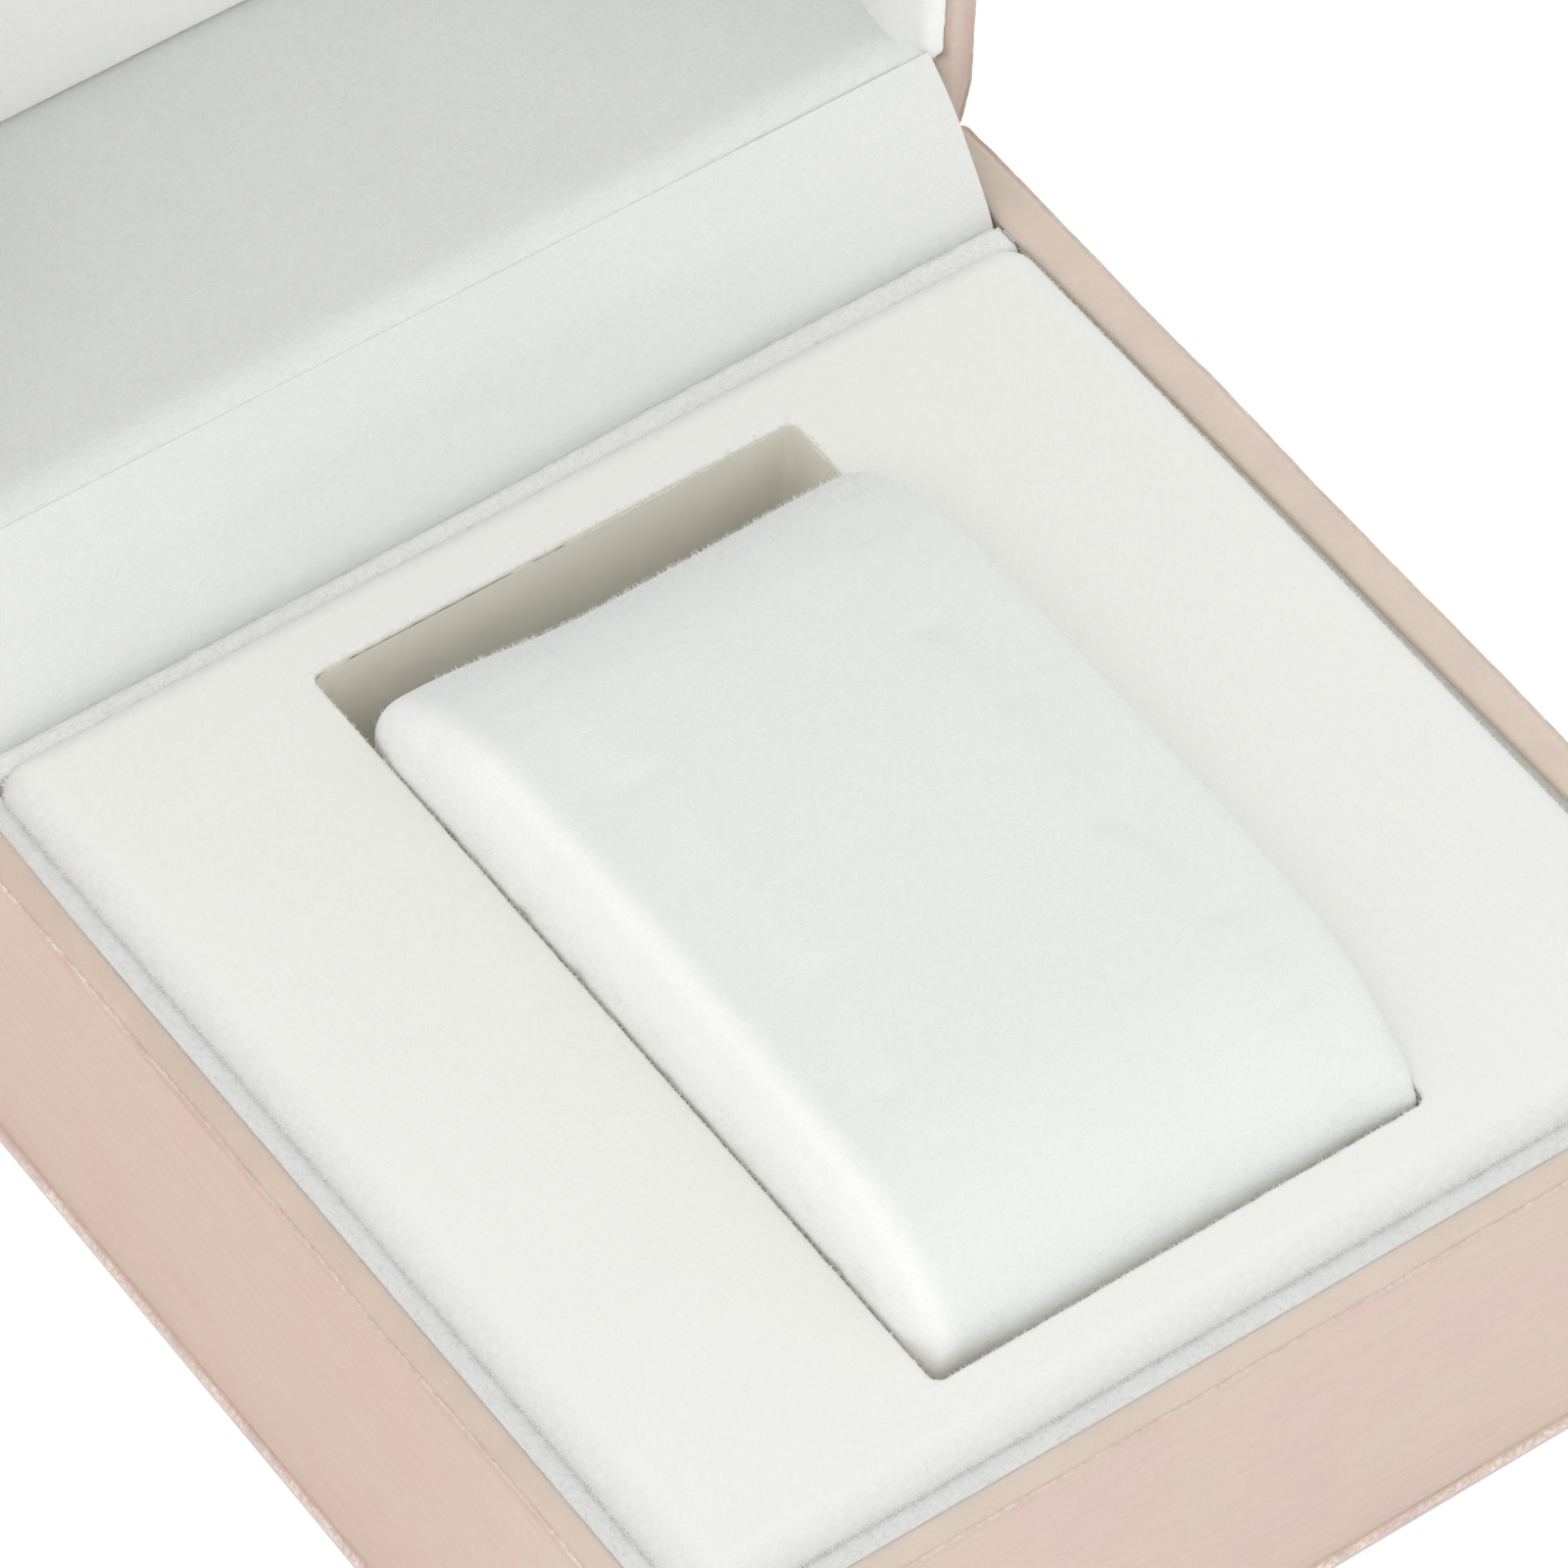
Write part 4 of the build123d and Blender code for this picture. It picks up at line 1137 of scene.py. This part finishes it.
SPRING_THICKNESS = 0.35
SPRING_RADIUS = 5.0
SPRING_WIDTH = 8.0


def bow_springs():
    """Two bent steel strips across the hinge."""
    low, high = box_mm("bow_springs")
    half = SPRING_THICKNESS / 2
    foot = HINGE_Z - low.z - half
    centre = (HINGE_Y + 0.75, HINGE_Z - 0.75)
    turn_y = centre[0] - SPRING_RADIUS
    turn_z = HINGE_Z - foot + 0.3
    path = [(low.y, HINGE_Z - foot), (low.y + 1.3, HINGE_Z - foot), (turn_y, turn_z)]
    path += [(turn_y, turn_z + i) for i in range(1, int(foot - 1))]
    path += arc(centre, SPRING_RADIUS, 180, 90, 16)
    path += [(HINGE_Y + foot - 0.3 - i, centre[1] + SPRING_RADIUS) for i in range(int(foot - 2), -1, -1)]
    path += [(HINGE_Y + foot, high.z - 1.3), (HINGE_Y + foot, high.z)]
    strips = []
    faces = []
    for side in (-1, 1):
        middle = side * (high.x + (high.x - SPRING_WIDTH)) / 2
        start_x = middle - SPRING_WIDTH / 2
        end_x = middle + SPRING_WIDTH / 2
        points, strip_faces = ribbon(path, SPRING_THICKNESS, start_x, end_x, 12, lambda x, y, z: 0.0)
        faces += [tuple(v + len(strips) for v in face) for face in strip_faces]
        strips += points
    springs = put("bow_strips", strips, faces, None, STEEL, ["bow_springs"])
    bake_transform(springs)


bow_springs()


# ---- loose pile
def scatter(piece, count, seed, keep):
    """Points on a piece's faces with their normals, in millimetres, where keep says so."""
    draw = Random(seed)
    kept = [face for face in piece.data.polygons if keep(face.center / MM, face.normal)]
    weights = [face.area for face in kept]
    roots = []
    for polygon in draw.choices(kept, weights, k=count):
        corners = [piece.data.vertices[v].co for v in polygon.vertices]
        a, b = draw.random(), draw.random()
        spot = corners[0].lerp(corners[1], a).lerp(corners[-1].lerp(corners[2], a), b)
        roots.append((spot / MM, polygon.normal.copy()))
    return roots


def pile(name, roots, body, material, slot_name, seed, length, thick=0.05, droop=0.45, ceiling=inf):
    """Loose velvet fibres: each is a closed, three-sided sliver that tapers to a point.

    No tip stands higher than ceiling."""
    draw = Random(seed)
    points = []
    faces = []
    for spot, normal in roots:
        lean = Vector((draw.gauss(0, 1), draw.gauss(0, 1), draw.gauss(0, 1))) * droop
        axis = (normal + lean).normalized()
        if axis.dot(normal) < 0.1:
            axis = (axis + normal).normalized()
        side = axis.orthogonal().normalized()
        other = axis.cross(side)
        size = thick / 2 * draw.uniform(0.7, 1.2)
        foot = spot - normal * 0.06
        b = len(points)
        for i in range(3):
            angle = i * 2 * pi / 3
            points.append(foot + (side * cos(angle) + other * sin(angle)) * size)
        tip = spot + axis * draw.uniform(*length)
        tip.z = min(tip.z, ceiling)
        points.append(tip)
        faces += [(b, b + 2, b + 1), (b, b + 1, b + 3), (b + 1, b + 2, b + 3), (b + 2, b, b + 3)]
    put(name, points, faces, body, material)


def near_insert_edge(spot, normal):
    edge = min(insert_half - abs(spot.x), insert_half_y - abs(spot.y - insert_mid_y))
    return edge < 1.0 and SEAM_BAND[1] < insert_high.z - spot.z < SEAM_BAND[0]


def near_window(spot, normal):
    gap_x = abs(spot.x - WINDOW_CENTRE[0]) - WINDOW_HALF[0]
    gap_y = abs(spot.y - WINDOW_CENTRE[1]) - WINDOW_HALF[1]
    return max(gap_x, gap_y) < 0.3 and spot.z > insert_high.z - 0.5


def near_pillow_edge(spot, normal):
    at_side = spot.x < pillow_low.x + 1.2 or spot.y < pillow_low.y + 1.2
    at_right = spot.x > pillow_high.x - 0.8 and spot.z > PILLOW_TOP_FIBRES
    return at_side and PILLOW_SEAM[0] < spot.z < PILLOW_SEAM[1] or at_right


def near_pillow_rear(spot, normal):
    return normal.y > 0.45 and spot.z > PILLOW_TOP_FIBRES and spot.x > pillow_low.x + 5


def pile_pieces():
    seam = scatter(insert_velvet, 18000, 1, near_insert_edge)
    pile("insert_pile", seam, "insert", SEAM_VELVET, "white_velvet", 2, length=(0.25, 0.6), thick=0.06,
         droop=0.8, ceiling=insert_high.z - SHUT_GAP)
    rim = scatter(insert_velvet, 4000, 3, near_window)
    pile("window_pile", rim, "insert", WHITE_VELVET, "white_velvet", 4, length=(0.12, 0.4), thick=0.06)
    sides = scatter(pillow_velvet, 5000, 5, near_pillow_edge)
    pile("pillow_pile", sides, "pillow", PILLOW_VELVET, "white_velvet", 6, length=(0.15, 0.45))
    rear = scatter(pillow_velvet, 2500, 12, near_pillow_rear)
    pile("pillow_rear_pile", rear, "pillow", PILLOW_VELVET, "white_velvet", 13, length=(0.2, 0.6),
         droop=0.6)
    for side in SIDES:
        strip = bpy.data.objects[f"base_lining_{side}"]
        top = strip.bound_box[1][2] / MM
        roots = scatter(strip, 5000, 7, lambda spot, normal: spot.z > top - 0.6)
        velvet = BAR_VELVET if side == "rear" else STRIP_VELVET
        pile(f"base_lining_pile_{side}", roots, "base", velvet, "grey_velvet", 8, length=(0.15, 0.45),
             droop=0.8)
    panel = bpy.data.objects["lid_lining_rear"]
    edge = scatter(panel, 5000, 9, lambda spot, normal: spot.y < lid_panel_low.y + 1.0 and normal.z > -0.5)
    pile("lid_panel_pile", edge, "lid", SIDE_VELVET, "grey_velvet", 11, length=(0.15, 0.45), droop=0.7)


pile_pieces()

# ---- stage: floor, light and camera
floor_mesh = bpy.data.meshes.new("floor")
floor_mesh.from_pydata([(-3, -3, 0), (3, -3, 0), (3, 3, 0), (-3, 3, 0)], [], [(0, 1, 2, 3)])
floor = bpy.data.objects.new("floor", floor_mesh)
scene.collection.objects.link(floor)
floor_material = plain_material("floor_white", (0.95, 0.95, 0.95), 30.0, 0.005, 0.9, 0.0001)
floor_shader = floor_material.node_tree.nodes["Principled BSDF"]
floor_shader.inputs["Emission Color"].default_value = (1, 1, 1, 1)
floor_shader.inputs["Emission Strength"].default_value = 0.3
floor_mesh.materials.append(floor_material)

world = bpy.data.worlds.new("studio")
world.use_nodes = True
world.node_tree.nodes["Background"].inputs[0].default_value = (1.0, 1.0, 1.0, 1)
world.node_tree.nodes["Background"].inputs[1].default_value = 0.93
scene.world = world


def area_light(name, place, aim, size, energy, colour):
    data = bpy.data.lights.new(name, "AREA")
    data.shape = "SQUARE"
    data.size = size
    data.energy = energy
    data.color = colour
    lamp = bpy.data.objects.new(name, data)
    lamp.location = place
    lamp.rotation_euler = (Vector(aim) - Vector(place)).to_track_quat("-Z", "Y").to_euler()
    scene.collection.objects.link(lamp)


area_light("key", (-0.5, -0.65, 1.1), (0, 0, 0.03), 0.8, 3.6, (1.0, 1.0, 1.0))

# camera: its direction and tilt, and where it stands on the plane across its view
AZIMUTH = radians(-37.6034)
ELEVATION = radians(51.1067)
ROLL = radians(2.3398)
DISTANCE = 770.363
ASIDE = -2.793
ABOVE = 25.396
SENSOR = 36
LENS = 240.583
back = Vector((sin(AZIMUTH) * cos(ELEVATION), -cos(AZIMUTH) * cos(ELEVATION), sin(ELEVATION)))
level_right = Vector((cos(AZIMUTH), sin(AZIMUTH), 0))
level_up = back.cross(level_right)
camera_right = level_right * cos(ROLL) + level_up * sin(ROLL)
camera_up = level_up * cos(ROLL) - level_right * sin(ROLL)
centre = camera_right * ASIDE + camera_up * ABOVE + back * DISTANCE
camera_data = bpy.data.cameras.new("camera")
camera_data.sensor_width = SENSOR
camera_data.lens = LENS
camera_data.clip_start = 0.01
camera = bpy.data.objects.new("camera", camera_data)
turn = Matrix((camera_right, camera_up, back)).transposed().to_4x4()
camera.matrix_world = Matrix.Translation(centre * MM) @ turn
scene.collection.objects.link(camera)
scene.camera = camera
scene.view_settings.view_transform = "Standard"
